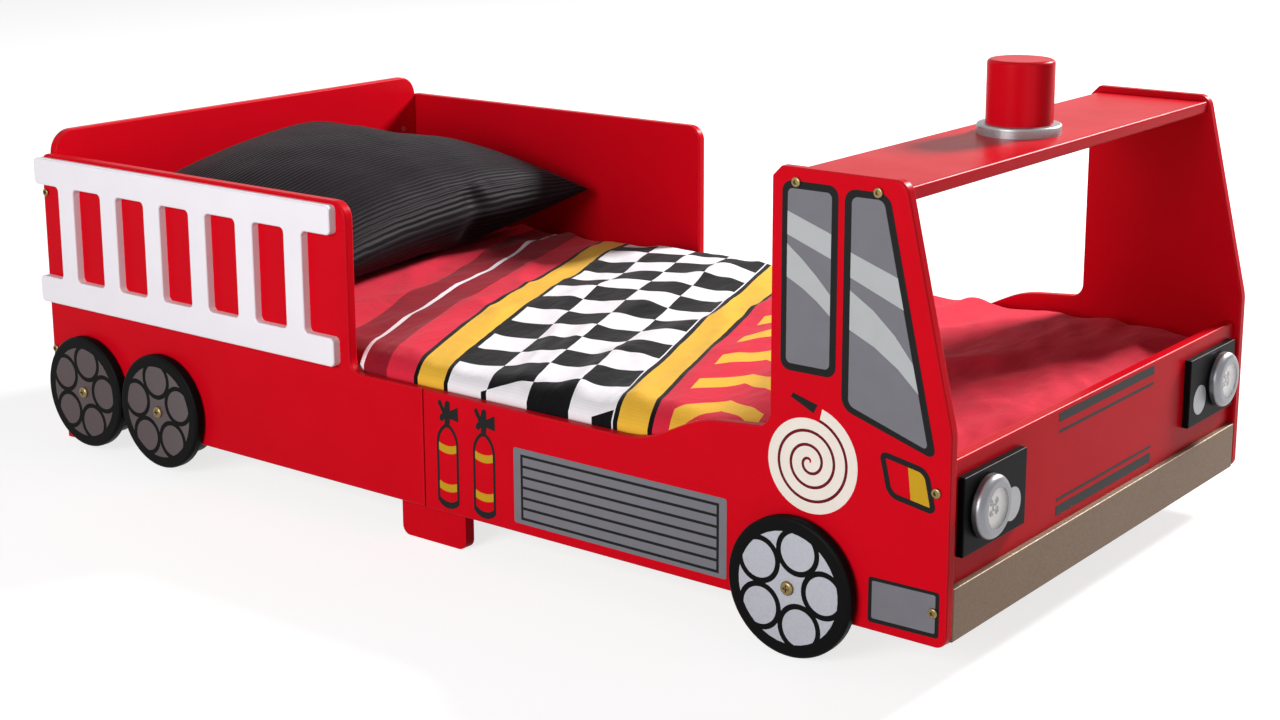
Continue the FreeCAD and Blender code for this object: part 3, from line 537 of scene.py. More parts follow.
def air_intake(side, board):
    """Grey plate, and a black frame with level lines over it."""
    bm = bmesh.new()
    draw(bm, board, intake)
    fill(bm)
    round_corners(bm, bm.verts[:], intake_corner)
    film("air_intake_print" + side, bm, board, [grey_ink])
    bm = bmesh.new()
    draw(bm, board, slot_frame, film_thickness)
    fill(bm)
    inner = framed(bm, slot_line, 0)
    bottom = slot_frame[0][1] + slot_line
    pitch = (slot_frame[2][1] - bottom) / slot_count
    for i in range(1, slot_count):
        for level in (bottom + i * pitch - slot_line, bottom + i * pitch):
            inner = split(bm, inner, spot(board, (0, level)), board.up)
    strips = []
    for face in inner:
        height = (face.calc_center_median() - board.origin).dot(board.up) / MM - bottom
        if height % pitch < pitch - slot_line:
            strips.append(face)
    bmesh.ops.delete(bm, geom=strips, context="FACES")
    film("air_slots_print" + side, bm, board, [black_ink])


# %% Number plate and indicator
plate = [(1366.8, 9.8), (1451.8, 11.2), (1451.8, 61.2), (1366.8, 60.3)]
plate_field = [(1371.2, 14.6), (1447.2, 15.6), (1447.2, 57.6), (1371.2, 56.4)]
indicator = [(1375.6, 200.9), (1435, 190.3), (1445.8, 142.6), (1387.4, 152.2)]
indicator_split = ((1411, 187.4), (1415.3, 151.1))
indicator_corner = 11
indicator_frame = 6.2


def indicator_lamp(side, board):
    """Black frame with a yellow front half; behind it the board's own colour shows."""
    bm = bmesh.new()
    draw(bm, board, indicator)
    fill(bm)
    round_corners(bm, bm.verts[:], indicator_corner)
    inner = framed(bm, indicator_frame, 1)
    a, b = (spot(board, point) for point in indicator_split)
    halves = split(bm, inner, a, (b - a).cross(board.outward))
    rear = [half for half in halves if half.calc_center_median().x < a.x]
    bmesh.ops.delete(bm, geom=rear, context="FACES_ONLY")
    film("indicator_print" + side, bm, board, [black_ink, yellow_ink])


for side, board in side_boards.items():
    air_intake(side, board)
    framed_print("number_plate_print" + side, board, plate, plate_field, (3.5, 2))
    indicator_lamp(side, board)
print("intake, plate and indicator printed")

# %% [markdown]
# ## Hose and extinguishers
# The rolled-up hose is a flat spiral: an edge from the inside to the outside of the hose is extruded
# step by step while it turns and moves out, which is how the real roll grows. The extinguishers are
# outlines, drawn as two loops with the space between them filled, a solid valve and two curved
# bands.

# %% Hose
hose_centre = (1290.8, 169.6)
hose_pitch = 15.4
hose_gap = 3.4
hose_start, hose_end, hose_step = 70, 1518, 6
steps_per_turn = 360 // hose_step
nozzle = [(1266.5, 238.2), (1268.8, 243), (1300.2, 234.5), (1295.2, 224.6)]


def hose(side, board):
    """Spiral of cream hose with maroon between its turns, and the black nozzle at its outer end."""
    bm = bmesh.new()
    middle = spot(board, hose_centre)
    edge = None
    turns = []
    for angle in range(hose_start, hose_end + 1, hose_step):
        outside = hose_pitch * angle / 360 - hose_gap / 2
        inside = max(0.1, hose_pitch * (angle - 360) / 360 + hose_gap / 2)
        aim = Vector((math.cos(math.radians(angle)), math.sin(math.radians(angle))))
        ends = [spot(board, Vector(hose_centre) + aim * radius) for radius in (inside, outside)]
        if edge is None:
            edge = bm.edges.new([bm.verts.new(end) for end in ends])
            turns.append(edge.verts[:])
            continue
        grown = bmesh.ops.extrude_edge_only(bm, edges=[edge])["geom"]
        edge = next(part for part in grown if isinstance(part, bmesh.types.BMEdge))
        turns.append(sorted(edge.verts, key=lambda v: (v.co - middle).length))
        for v, end in zip(turns[-1], ends):
            v.co = end
    next_turn = turns[steps_per_turn:]
    for (_, a), (_, b), (c, _), (d, _) in zip(turns, turns[1:], next_turn[1:], next_turn):
        bm.faces.new((a, b, c, d)).material_index = 2
    bmesh.ops.recalc_face_normals(bm, faces=bm.faces)
    draw(bm, board, nozzle)
    fill(bm, 1)
    film("hose_print" + side, bm, board, [cream_ink, black_ink, maroon_ink])


# %% Extinguishers
extinguisher_axes = (768.2, 827.4)
bottle = [(-17.8, 15), (-17.8, 88), ((-14, 103.5), (-3.5, 114.5)),
          (3.5, 114.5), ((14, 103.5), (17.8, 88)), (17.8, 15), ((0, 6.5), (-17.8, 15))]
bottle_inside = [(-14.2, 20), (-14.2, 88), ((-10.8, 100.5), (-2.5, 109.8)),
                 (2.5, 109.8), ((10.8, 100.5), (14.2, 88)), (14.2, 20), ((0, 15), (-14.2, 20))]
bottle_bands = (76.9, 28)
band_half = 14.2
band_height = 9.9
band_sag = 3
valve = [(-4, 114.5), (-4, 120.3), (-8.5, 116), (-12.5, 118.4), (-11.5, 123.7), (-7.5, 127.1),
         (-14.5, 138.7), (-13.5, 143.1), (-10, 143.1), (-4.5, 133.9), (-2.5, 142.6), (1.5, 144.5),
         (5, 142.6), (5.2, 131.9), (18, 138.7), (18.4, 119.8), (5.2, 121.8), (4, 114.5)]


def extinguisher(name, board, axis):
    """Outline of a bottle with a thick foot, two yellow bands and a valve."""
    moved = board._replace(origin=spot(board, (axis, 0)))
    bm = bmesh.new()
    draw(bm, moved, bottle)
    draw(bm, moved, bottle_inside)
    bmesh.ops.triangle_fill(bm, use_beauty=True, edges=bm.edges[:])
    for low in bottle_bands:
        high = low + band_height
        draw(bm, moved, [
            (-band_half, low + band_sag), ((0, low), (band_half, low + band_sag)),
            (band_half, high + band_sag), ((0, high), (-band_half, high + band_sag))])
        fill(bm, 1)
    draw(bm, moved, valve)
    fill(bm)
    film(name, bm, moved, [black_ink, yellow_ink])


for side, board in side_boards.items():
    hose(side, board)
    for number, axis in enumerate(extinguisher_axes, 1):
        extinguisher(f"extinguisher_print_{number}{side}", board, axis)
print("hose and extinguishers printed")

# %% [markdown]
# ## Front stripes, fog lamps and lamp wells
# Two pairs of black bars cross the front panel, and a silver dot on each headlight plate stands for
# a fog lamp. The plates stand off the panel, so their drawing board is moved forward to their faces.
# Inside each push light, four dark rings lie on its circuit board around the lamps.

# %% Front prints
stripe_half = 123
stripes = ((182, 192.4), (168.9, 172.5), (89.8, 93), (72.5, 84))
fog_lamp = (244.2, 122.5)
fog_radius = 18.7


def disc(across, level, radius):
    """Outline of a disc, as two arcs."""
    left, right = (across - radius, level), (across + radius, level)
    return [left, ((across, level + radius), right), ((across, level - radius), left)]


bm = bmesh.new()
for low, high in stripes:
    draw(bm, front_board, [(-stripe_half, low), (stripe_half, low),
                           (stripe_half, high), (-stripe_half, high)])
    fill(bm)
film("front_stripes_print", bm, front_board, [black_ink])

for side, way in zip(SIDES, (-1, 1)):
    plate_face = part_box("headlight_plate" + side)[1].x
    board = front_board._replace(origin=Vector((plate_face, 0, front_low.z)))
    bm = bmesh.new()
    draw(bm, board, disc(way * fog_lamp[0], fog_lamp[1], fog_radius))
    fill(bm)
    film("fog_lamp_print" + side, bm, board, [base_paint])
print("front printed")

# %% Lamp wells
lamp_radius = 2
lamp_well = (2.3, 3.6)

for side in SIDES:
    low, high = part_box("light_leds" + side)
    well_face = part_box("light_board" + side)[1].x
    board = front_board._replace(origin=Vector((well_face, *((low + high) / 2).yz)))
    offset = (high.y - low.y) / 2 / MM - lamp_radius
    bm = bmesh.new()
    for across in (-offset, offset):
        for level in (-offset, offset):
            drawn = set(bm.edges)
            for radius in lamp_well:
                draw(bm, board, disc(across, level, radius))
            ring = [edge for edge in bm.edges if edge not in drawn]
            bmesh.ops.triangle_fill(bm, use_beauty=True, edges=ring)
    film("lamp_wells_print" + side, bm, board, [black_ink])
print("lamp wells printed")

# %% [markdown]
# ## Wheel hubs
# Each black wheel carries a silver print of a hub: five round windows, five small wedges between
# them and a star in the middle. Everything is bounded by circles, so the outlines are arcs whose
# ends are the places where those circles cross. The wheels stand at different angles, as wheels do.

# %% Hub circles
hub_radius = 63.5
window_distance = 45.0
window_radius = 21.3
outline_radius = 27.6
fifth = math.tau / 5
clip_angle = math.acos((window_distance**2 + hub_radius**2 - window_radius**2)
                       / (2 * window_distance * hub_radius))
rim_angle = math.acos((window_distance**2 + hub_radius**2 - outline_radius**2)
                      / (2 * window_distance * hub_radius))
tip_angle = math.acos(window_distance * math.sin(fifth / 2) / outline_radius)
star_radius = window_distance * math.cos(fifth / 2) - outline_radius * math.sin(tip_angle)


def polar(radius, angle):
    """Point at a radius and an angle."""
    return (radius * math.cos(angle), radius * math.sin(angle))


def on_window(index, radius, angle):
    """Point on a circle about one of the five windows."""
    middle = polar(window_distance, index * fifth)
    reach = polar(radius, angle)
    return (middle[0] + reach[0], middle[1] + reach[1])


def arc_middle(index, start, end):
    """Point halfway along the outline circle of a window, between two of its points."""
    middle = Vector(polar(window_distance, index * fifth))
    toward = ((Vector(start) + Vector(end)) / 2 - middle).normalized()
    return tuple(middle + toward * outline_radius)


# %% Hub print
wheel_angles = {"wheel_rear_r": 6, "wheel_mid_r": 20, "wheel_front_r": 2,
                "wheel_rear_l": 40, "wheel_mid_l": -22, "wheel_front_l": 9}


def hub_print(node, tilt):
    """Silver fields of a hub on the wheel's outer face."""
    low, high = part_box(node)
    outward = side_boards[node[-2:]].outward
    centre = (low + high) / 2
    centre.y = low.y if outward.y < 0 else high.y
    turn = Matrix.Rotation(math.radians(-tilt), 3, "Y")
    board = DrawingBoard(centre, turn @ forward, turn @ up, outward)
    bm = bmesh.new()
    star = [polar(star_radius, -fifth / 2)]
    for i in range(5):
        facing = i * fifth
        between = facing + fifth / 2
        clip = polar(hub_radius, facing + clip_angle)
        inmost = on_window(i, window_radius, facing + math.pi)
        draw(bm, board, [clip, (inmost, polar(hub_radius, facing - clip_angle)),
                         (polar(hub_radius, facing), clip)])
        fill(bm)
        apex = on_window(i, outline_radius, between + math.pi / 2 - tip_angle)
        start = polar(hub_radius, facing + rim_angle)
        end = polar(hub_radius, facing + fifth - rim_angle)
        draw(bm, board, [apex, (arc_middle(i, apex, start), start),
                         (polar(hub_radius, between), end),
                         (arc_middle((i + 1) % 5, end, apex), apex)])
        fill(bm)
        star.append((on_window(i, outline_radius, facing + math.pi), polar(star_radius, between)))
    draw(bm, board, star)
    fill(bm)
    film(node.replace("wheel", "hub_print"), bm, board, [hub_paint], node)


for node, tilt in wheel_angles.items():
    hub_print(node, tilt)
print("hubs printed", len(wheel_angles))

# %% [markdown]
# ## Mattress
# A foam block in a quilted cover with a piped edge, mostly hidden by the boards and the duvet. A box
# with rounded corners is cut into a rim and two panels, the rims are pushed out for the piping, and
# quilting lines come from the fabric.

# %% Ticking
# A Wave texture draws about 3.2 bands in each unit of its scale
bands_per_scale = 3.2


def woven(name, thread_mm, roughness, sheen):
    """Plain weave: two sets of threads that cross, drawn as waves along the cloth's own map."""
    material, tree, surface = start_material(name, **{
        "Roughness": roughness, "IOR": 1.45, "Specular IOR Level": 0.05, "Sheen Weight": sheen,
        "Sheen Roughness": 0.5})
    place = add_node(tree, "TexCoord").outputs["UV"]
    warp, weft = (add_node(tree, "TexWave", {"bands_direction": way}, {
        "Vector": place, "Scale": per_metre(thread_mm) / bands_per_scale}) for way in "XY")
    threads = add_node(tree, "Math", {"operation": "MULTIPLY"}, {
        0: warp.outputs["Fac"], 1: weft.outputs["Fac"]})
    return material, tree, surface, place, threads.outputs[0]


# Real ticking threads are 0.3 mm apart; they are drawn at 4 mm so that they show
ticking, tree, surface, place, threads = woven("quilted_ticking", 4.0, 0.85, 0.1)
colour = add_node(tree, "Mix", COLOURS, {0: threads, 6: "#D5D1CA", 7: "#EDEAE4"})
turned = add_node(tree, "Mapping", {}, {"Vector": place, "Rotation": (0, 0, math.pi / 4)})
quilt = add_node(tree, "TexVoronoi", {"distance": "CHEBYCHEV"}, {
    "Vector": turned.outputs[0], "Scale": per_metre(70), "Randomness": 0.0})
bump = add_node(tree, "Bump", {"invert": True}, {
    "Height": quilt.outputs["Distance"], "Distance": 8 * MM})
plug(surface, {"Base Color": colour.outputs[2], "Normal": bump.outputs[0]})
print("woven", ticking.name)


# %% Mattress
def map_from_above(bm):
    """Lay a mesh's UV map out in metres, as seen from above."""
    layer = bm.loops.layers.uv.new("cloth")
    for face in bm.faces:
        for loop in face.loops:
            loop[layer].uv = loop.vert.co.xy


low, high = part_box("mattress")
piping = 6 * MM
clear = 1 * MM
mattress_corner = 45 * MM
piping_levels = (low.z + 10 * MM, high.z - 10 * MM)
side_room = 2 * (piping + clear)
room = (high - low) - Vector((side_room, side_room, 2 * clear))
bm = bmesh.new()
bmesh.ops.create_cube(bm, size=1.0)
bmesh.ops.transform(bm, matrix=Matrix.Diagonal((*room, 1)), verts=bm.verts)
bmesh.ops.translate(bm, verts=bm.verts, vec=(low + high) / 2)
uprights = [edge for edge in bm.edges if abs(edge.verts[0].co.z - edge.verts[1].co.z) > piping]
bmesh.ops.bevel(bm, geom=uprights, offset=mattress_corner, segments=8, profile=0.5,
                affect="EDGES", material=-1)
for level in piping_levels:
    for height in (level - piping / 2, level + piping / 2):
        split(bm, bm.faces[:], Vector((0, 0, height)), up)
rims = [face for face in bm.faces if abs(face.normal.z) < 0.5
        and min(abs(face.calc_center_median().z - level) for level in piping_levels) < 1 * MM]
bmesh.ops.inset_region(bm, faces=rims, thickness=1.2 * MM, depth=piping * 0.8, use_boundary=True,
                       use_even_offset=True)
map_from_above(bm)
mattress = piece("quilted_mattress", bm, [ticking])
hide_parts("mattress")
print("mattress piped rims", len(rims))

# %% [markdown]
# ## Duvet
# A thin quilt in a printed cotton cover lies on the mattress, tucked in behind the side boards. It
# was pushed together a little as it was laid, and that is what makes its soft folds. The simulation
# does the same: the cover is cut longer than the bed, its edges are held down, and it settles on its
# filling.

# %% Settle a cloth
def cloth(cover, name, rest, frames, **settings):
    """Make an object a cloth cut to its rest shape key; the settings are Blender's own."""
    made = cover.modifiers.new(name, "CLOTH")
    for setting, value in settings.items():
        setattr(made.settings, setting, value)
    made.settings.rest_shape_key = rest
    made.point_cache.frame_end = frames
    return made


def settled(cloth_object, frames):
    """Run the simulation and return the mesh it ends with."""
    scene = bpy.context.scene
    scene.frame_start, scene.frame_end = 1, frames
    for number in range(1, frames + 1):
        scene.frame_set(number)
    now = cloth_object.evaluated_get(bpy.context.evaluated_depsgraph_get())
    mesh = bpy.data.meshes.new_from_object(now)
    scene.frame_set(1)
    return mesh


def soften(made):
    """Subdivide an object once, in the editor and in renders."""
    smooth = made.modifiers.new("soft", "SUBSURF")
    smooth.levels = smooth.render_levels = 1


# %% Duvet filling
low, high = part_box("duvet")
duvet_middle = (low + high) / 2
duvet_size = high - low
edge_roll = 34 * MM
shoulder = 13 * MM
under_folds = 10 * MM
ridge_height, crease_height, wrinkle_height = 9 * MM, 5 * MM, 2 * MM
gathered_from, gathered_over = 350 * MM, 200 * MM
far_bulge = 12 * MM
far_place, far_width = (-90 * MM, 260 * MM), (160 * MM, 90 * MM)


def hump(value, width):
    """Smooth bump, 1 at zero and fading over the width."""
    return math.exp(-(value / width) ** 2)


def edge_reach(x, y):
    """Distance to the duvet's nearest edge."""
    return min(duvet_size.x / 2 - abs(x - duvet_middle.x),
               duvet_size.y / 2 - abs(y - duvet_middle.y))


def fold(x, y, layer):
    """Folds with narrow crests, from 0 to 1; they run where a noise crosses zero."""
    return max(0, 1 - abs(2 * noise.noise(Vector((x, y, layer))))) ** 2


def filling_height(x, y):
    """Height of the filling above the mattress: a low crown that rolls down at the edges."""
    roll = min(1.0, max(0.0, edge_reach(x, y) / edge_roll))
    round_edge = math.sqrt(1 - (1 - roll) ** 2)
    across = 2 * abs(y - duvet_middle.y) / duvet_size.y
    crown = (duvet_size.z - shoulder - under_folds) * (1 - across ** 2.2)
    drift = 0.35 * noise.noise(Vector((x * 2.5, y * 3.0, 7.7)))
    gathered = min(1.0, max(0.0, (x - gathered_from) / gathered_over))
    folds = ridge_height * fold(x * 8.0 + drift * 3, y * 1.5, 3.1)
    folds += crease_height * fold(x * 12 + y * 5, y * 4 - x * 3, 0.4)
    folds += wrinkle_height * (1 + gathered) * fold(x * 30 + y * 9, y * 8 - x * 5, 5.2)
    folds += far_bulge * hump(x - far_place[0], far_width[0]) * hump(y - far_place[1], far_width[1])
    return low.z + 1 * MM + shoulder * round_edge + (crown + folds) * roll


duvet_cells = (150, 78)
bm = bmesh.new()
bmesh.ops.create_grid(bm, x_segments=duvet_cells[0], y_segments=duvet_cells[1], size=0.5)
for v in bm.verts:
    v.co = (duvet_middle.x + v.co.x * duvet_size.x, duvet_middle.y + v.co.y * duvet_size.y, 0)
map_from_above(bm)
for v in bm.verts:
    v.co.z = filling_height(v.co.x, v.co.y)
print("duvet cells", len(bm.faces))
cover = put_in_scene("duvet_cover", bm)

# %% Duvet simulation
extra_length = 0.05
extra_width = 0.012
duvet_frames = 36
filling_depth = 3 * MM
tucked_strip = 10 * MM
filling = None
filling = bpy.data.objects.new("duvet_filling", cover.data.copy())
bpy.context.scene.collection.objects.link(filling)
for v in filling.data.vertices:
    v.co.z -= filling_depth
filling.modifiers.new("filling", "COLLISION")
filling.collision.thickness_outer = 1 * MM
filling.collision.cloth_friction = 3
cover.shape_key_add(name="laid")
cut = cover.shape_key_add(name="cut")
for point in cut.data:
    point.co.x = duvet_middle.x + (point.co.x - duvet_middle.x) * (1 + extra_length)
    point.co.y = duvet_middle.y + (point.co.y - duvet_middle.y) * (1 + extra_width)
tucked = cover.vertex_groups.new(name="tucked")
tucked.add([v.index for v in cover.data.vertices
            if edge_reach(v.co.x, v.co.y) < tucked_strip], 1.0, "REPLACE")
cotton = cloth(cover, "cotton", cut, duvet_frames, quality=6, mass=0.25, tension_stiffness=30,
               compression_stiffness=30, shear_stiffness=12, bending_stiffness=1.2,
               air_damping=2.0, vertex_group_mass=tucked.name)
cotton.collision_settings.distance_min = 1.5 * MM
soften(cover)
mesh = settled(cover, duvet_frames)
bpy.data.objects.remove(cover)
if filling:
    bpy.data.objects.remove(filling)
print("duvet settled in", duvet_frames, "frames")

# %% Duvet body
bm = bmesh.new()
bm.from_mesh(mesh)
hem_drop = 14 * MM
hem_fold = 4 * MM
rest_gap = 0.3 * MM


def carry_on(edges):
    """Extrude a loop of edges; returns the new edges and their points."""
    parts = bmesh.ops.extrude_edge_only(bm, edges=edges)["geom"]
    return ([part for part in parts if isinstance(part, bmesh.types.BMEdge)],
            [part for part in parts if isinstance(part, bmesh.types.BMVert)])


def overhangs(v):
    """True where the cover hangs down beside the mattress."""
    return abs(v.co.y - duvet_middle.y) > duvet_size.y / 2 - hem_fold


rim, points = carry_on([edge for edge in bm.edges if edge.is_boundary])
for v in points:
    v.co.z = low.z + (-hem_drop if overhangs(v) else rest_gap)
rim, points = carry_on(rim)
for v in points:
    if overhangs(v):
        v.co.y -= math.copysign(hem_fold, v.co.y)
rim, points = carry_on(rim)
for v in points:
    v.co.z = low.z + rest_gap
bmesh.ops.remove_doubles(bm, verts=bm.verts, dist=0.01 * MM)
bmesh.ops.edgeloop_fill(bm, edges=[edge for edge in bm.edges if edge.is_boundary])
bmesh.ops.recalc_face_normals(bm, faces=bm.faces)
for face in bm.faces:
    face.smooth = True
print("duvet top", round(max(v.co.z for v in bm.verts), 4), "of", round(high.z, 4))

# %% [markdown]
# ## Duvet print
# The cover has a plain racing print: a diagonal chequered ribbon between yellow bands, maroon and
# white stripes on the pillow side and yellow chevrons on the other. The cloth's own map is turned
# along the ribbon. Bands come from a ramp across it, squares from a checker and chevrons from a
# folded distance.

# %% Printed cotton
# Real cotton threads are 0.2 mm apart; they are drawn at 3 mm so that they show
cotton_print, tree, surface, place, threads = woven("printed_cotton", 3.0, 0.8, 0.06)
red, maroon, white, black, yellow = "#D5283F", "#8C1626", "#ECE8EC", "#0E0D0F", "#E9B53C"
ribbon_place = (0.010, 0.0, 0.0)
ribbon_turn = math.radians(20.5)
turned = add_node(tree, "Mapping", {"vector_type": "TEXTURE"}, {
    "Vector": place, "Location": ribbon_place, "Rotation": (0, 0, ribbon_turn)}).outputs[0]
across, along, _ = add_node(tree, "SeparateXYZ", {}, {0: turned}).outputs
half_span = 0.4
ramp_place = add_node(tree, "MapRange", {}, {
    "Value": across, "From Min": -half_span, "From Max": half_span})
bands = add_node(tree, "ValToRGB", {}, {0: ramp_place.outputs[0]})
bands.color_ramp.interpolation = "CONSTANT"
stripes_mm = [(-400, red), (-300, maroon), (-262, white), (-254, maroon), (-216, red),
              (-172, black), (-168, yellow), (-126, black), (-120, white), (120, black),
              (126, yellow), (168, black), (172, red)]
stops = bands.color_ramp.elements
while len(stops) < len(stripes_mm):
    stops.new(1.0)
for stop, (edge, colour) in zip(stops, stripes_mm):
    stop.position = (edge * MM + half_span) / (2 * half_span)
    stop.color = linear(colour)
square = 60
checks = add_node(tree, "TexChecker", {}, {"Vector": turned, "Scale": per_metre(square)})
distance = add_node(tree, "Math", {"operation": "ABSOLUTE"}, {0: across})
ribbon = add_node(tree, "Math", {"operation": "LESS_THAN"}, {
    0: distance.outputs[0], 1: 2 * square * MM})
dark = add_node(tree, "Math", {"operation": "MULTIPLY"}, {
    0: checks.outputs["Fac"], 1: ribbon.outputs[0]})
printed = add_node(tree, "Mix", COLOURS, {0: dark.outputs[0], 6: bands.outputs["Color"], 7: black})
print("stripes", len(stripes_mm))

# %% Chevrons and folds of the print
chevron_lane = 248
chevron_half = 52
chevron_pitch = 105
chevron_stroke = 40
from_lane = add_node(tree, "Math", {"operation": "SUBTRACT"}, {0: across, 1: chevron_lane * MM})
from_lane = add_node(tree, "Math", {"operation": "ABSOLUTE"}, {0: from_lane.outputs[0]}).outputs[0]
slanted = add_node(tree, "Math", {"operation": "ADD"}, {0: along, 1: from_lane})
phase = add_node(tree, "Math", {"operation": "FLOORED_MODULO"}, {
    0: slanted.outputs[0], 1: chevron_pitch * MM})
stroke = add_node(tree, "Math", {"operation": "LESS_THAN"}, {
    0: phase.outputs[0], 1: chevron_stroke * MM})
lane = add_node(tree, "Math", {"operation": "LESS_THAN"}, {0: from_lane, 1: chevron_half * MM})
chevron = add_node(tree, "Math", {"operation": "MULTIPLY"}, {
    0: stroke.outputs[0], 1: lane.outputs[0]})
printed = add_node(tree, "Mix", COLOURS, {0: chevron.outputs[0], 6: printed.outputs[2], 7: yellow})
weave = add_node(tree, "Mix", COLOURS, {0: threads, 6: "#B8B8B8", 7: "#FFFFFF"})
faded = add_node(tree, "Mix", {"data_type": "RGBA", "blend_type": "MULTIPLY"}, {
    0: 0.18, 6: printed.outputs[2], 7: weave.outputs[2]})
creased = add_node(tree, "Mapping", {}, {"Vector": place, "Scale": (1.0, 0.35, 1.0)})
crumple = add_node(tree, "TexNoise", {}, {
    "Vector": creased.outputs[0], "Scale": per_metre(30), "Detail": 3.0, "Distortion": 0.8})
height = add_node(tree, "Mix", {}, {0: 0.06, 2: crumple.outputs["Fac"], 3: threads})
bump = add_node(tree, "Bump", {}, {
    "Height": height.outputs[0], "Strength": 0.8, "Distance": 5 * MM})
plug(surface, {"Base Color": faded.outputs[2], "Normal": bump.outputs[0]})

duvet = piece("printed_duvet", bm, [cotton_print])
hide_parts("duvet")
print("duvet faces", len(duvet.data.polygons))

# %% [markdown]
# ## Pillow
# A black cushion in slubbed satin: two rectangles sewn edge to edge and stuffed, so its corners are
# pointed, its sides draw in and its edge is sharp. It lies on the duvet and leans on the headboard.
# A formula gives that pose, and the simulation then stuffs it, which swells the cloth and creases
# the seam.

# %% Pillow shape
pillow_low, pillow_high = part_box("pillow")
pillow_middle = (pillow_low + pillow_high) / 2
half_length, half_width, half_thickness = 198 * MM, 330 * MM, 61 * MM
draw_in = (16 * MM, 22 * MM)
front_seam = 294 * MM
rear_rise = 88 * MM
plan_turn = math.radians(3.0)
from_headboard = 4 * MM
headboard_gap = 2 * MM
above_duvet = 5 * MM
tuck = 0.25
tuck_depth, tuck_crease = 6 * MM, 2 * MM
corner_droop = 55 * MM
headboard_lift = 24 * MM
far_dent = 30 * MM
front_tilt, near_drop, far_tip = 10 * MM, 22 * MM, 4 * MM


def pillow_point(along, across, way):
    """Place on the pillow: along goes from headboard to foot, across to the left, from -1 to 1."""
    behind, ahead = (1 - along) / 2, max(0.0, along)
    far, near = max(0.0, across), max(0.0, -across)
    crown = ((1 - abs(along) ** 2.0) * (1 - abs(across) ** 3.0)) ** 0.66
    pucker = 1 + 0.05 * noise.noise(Vector((along * 3, across * 5, 2.2)))
    x = along * (half_length - draw_in[0] * (1 - across ** 2))
    y = across * (half_width - draw_in[1] * (1 - along ** 2))
    z = front_seam + rear_rise * behind ** 1.3 + way * half_thickness * crown * pucker
    # The front seam is tucked in at one place, and a crease runs back from it
    x -= tuck_depth * hump(across - tuck, 0.07) * ahead ** 12
    crease = hump(across - tuck - 0.2 * behind, 0.06) * hump(behind, 0.12)
    z -= tuck_crease * way * crease * crown ** 0.5
    # The corners at the headboard droop, and the stuffing between them is pushed up
    z -= corner_droop * (behind ** 3 * far ** 2 + behind ** 2 * near ** 1.5)
    z += headboard_lift * behind ** 4 * hump(across - 0.3, 0.35)
    # The far half has a dent, and the front edge rises to the far side
    z -= far_dent * hump(along + 0.55, 0.35) * hump(across - 0.62, 0.22)
    z += (1 - behind) * (front_tilt * across - near_drop * near ** 2) + far_tip * (ahead * far) ** 3
    x, y = Matrix.Rotation(plan_turn, 2) @ Vector((x, y))
    x += pillow_middle.x + from_headboard
    z = max(z, filling_height(x, y) + above_duvet)
    return Vector((max(x, pillow_low.x + headboard_gap), y, z))


pillow_cells = (50, 80)
cloth_size = (half_length * 1.1, half_width * 1.1)
bm = bmesh.new()
layer = bm.loops.layers.uv.new("cloth")
for way in (1, -1):
    grid = bmesh.ops.create_grid(bm, x_segments=pillow_cells[0], y_segments=pillow_cells[1],
                                 size=1.0)["verts"]
    for face in {face for v in grid for face in v.link_faces}:
        for loop in face.loops:
            loop[layer].uv = (loop.vert.co.x * cloth_size[0], loop.vert.co.y * cloth_size[1])
    for v in grid:
        v.co = pillow_point(v.co.x, v.co.y, way)
bmesh.ops.remove_doubles(bm, verts=bm.verts, dist=0.01 * MM)
bmesh.ops.recalc_face_normals(bm, faces=bm.faces)
cover = put_in_scene("pillow_cover", bm)
before = [v.co.copy() for v in cover.data.vertices]
print("pillow points", len(before))

# %% Pillow simulation
most_swell = 14 * MM
cut_wider = 1.02
pillow_frames = 16
cover.shape_key_add(name="stuffed")
cut = cover.shape_key_add(name="cut")
for point in cut.data:
    point.co = pillow_middle + (point.co - pillow_middle) * cut_wider
stuffed = cloth(cover, "satin", cut, pillow_frames, quality=5, mass=0.3, tension_stiffness=25,
                compression_stiffness=25, shear_stiffness=8, bending_stiffness=1.5,
                air_damping=3.0, use_pressure=True, uniform_pressure_force=1.2)
stuffed.settings.effector_weights.gravity = 0.0
mesh = settled(cover, pillow_frames)
bpy.data.objects.remove(cover)

# %% Pillow on the duvet
bm = bmesh.new()
bm.from_mesh(mesh)
swell = [(v.co - old).length for v, old in zip(bm.verts, before)]
print("pillow swells by", round(max(swell), 4))
for v, old in zip(bm.verts, before):
    moved = v.co - old
    if moved.length > most_swell:
        v.co = old + moved.normalized() * most_swell
    v.co.z = max(v.co.z, filling_height(v.co.x, v.co.y) + above_duvet)
    v.co.x = max(v.co.x, pillow_low.x)
bmesh.ops.smooth_vert(bm, verts=bm.verts, factor=0.3, use_axis_x=True, use_axis_y=True,
                      use_axis_z=True)
for face in bm.faces:
    face.smooth = True

# %% Slubbed satin
satin, tree, surface = start_material("slubbed_black_satin", **{
    "Roughness": 0.5, "IOR": 1.5, "Specular IOR Level": 0.03, "Sheen Weight": 0.02,
    "Sheen Roughness": 0.4})
place = add_node(tree, "TexCoord").outputs["UV"]
long_way = add_node(tree, "Mapping", {}, {"Vector": place, "Scale": (1.0, 0.02, 1.0)})
slubs = add_node(tree, "TexNoise", {}, {
    "Vector": long_way.outputs[0], "Scale": per_metre(5), "Detail": 2.0, "Roughness": 0.6})
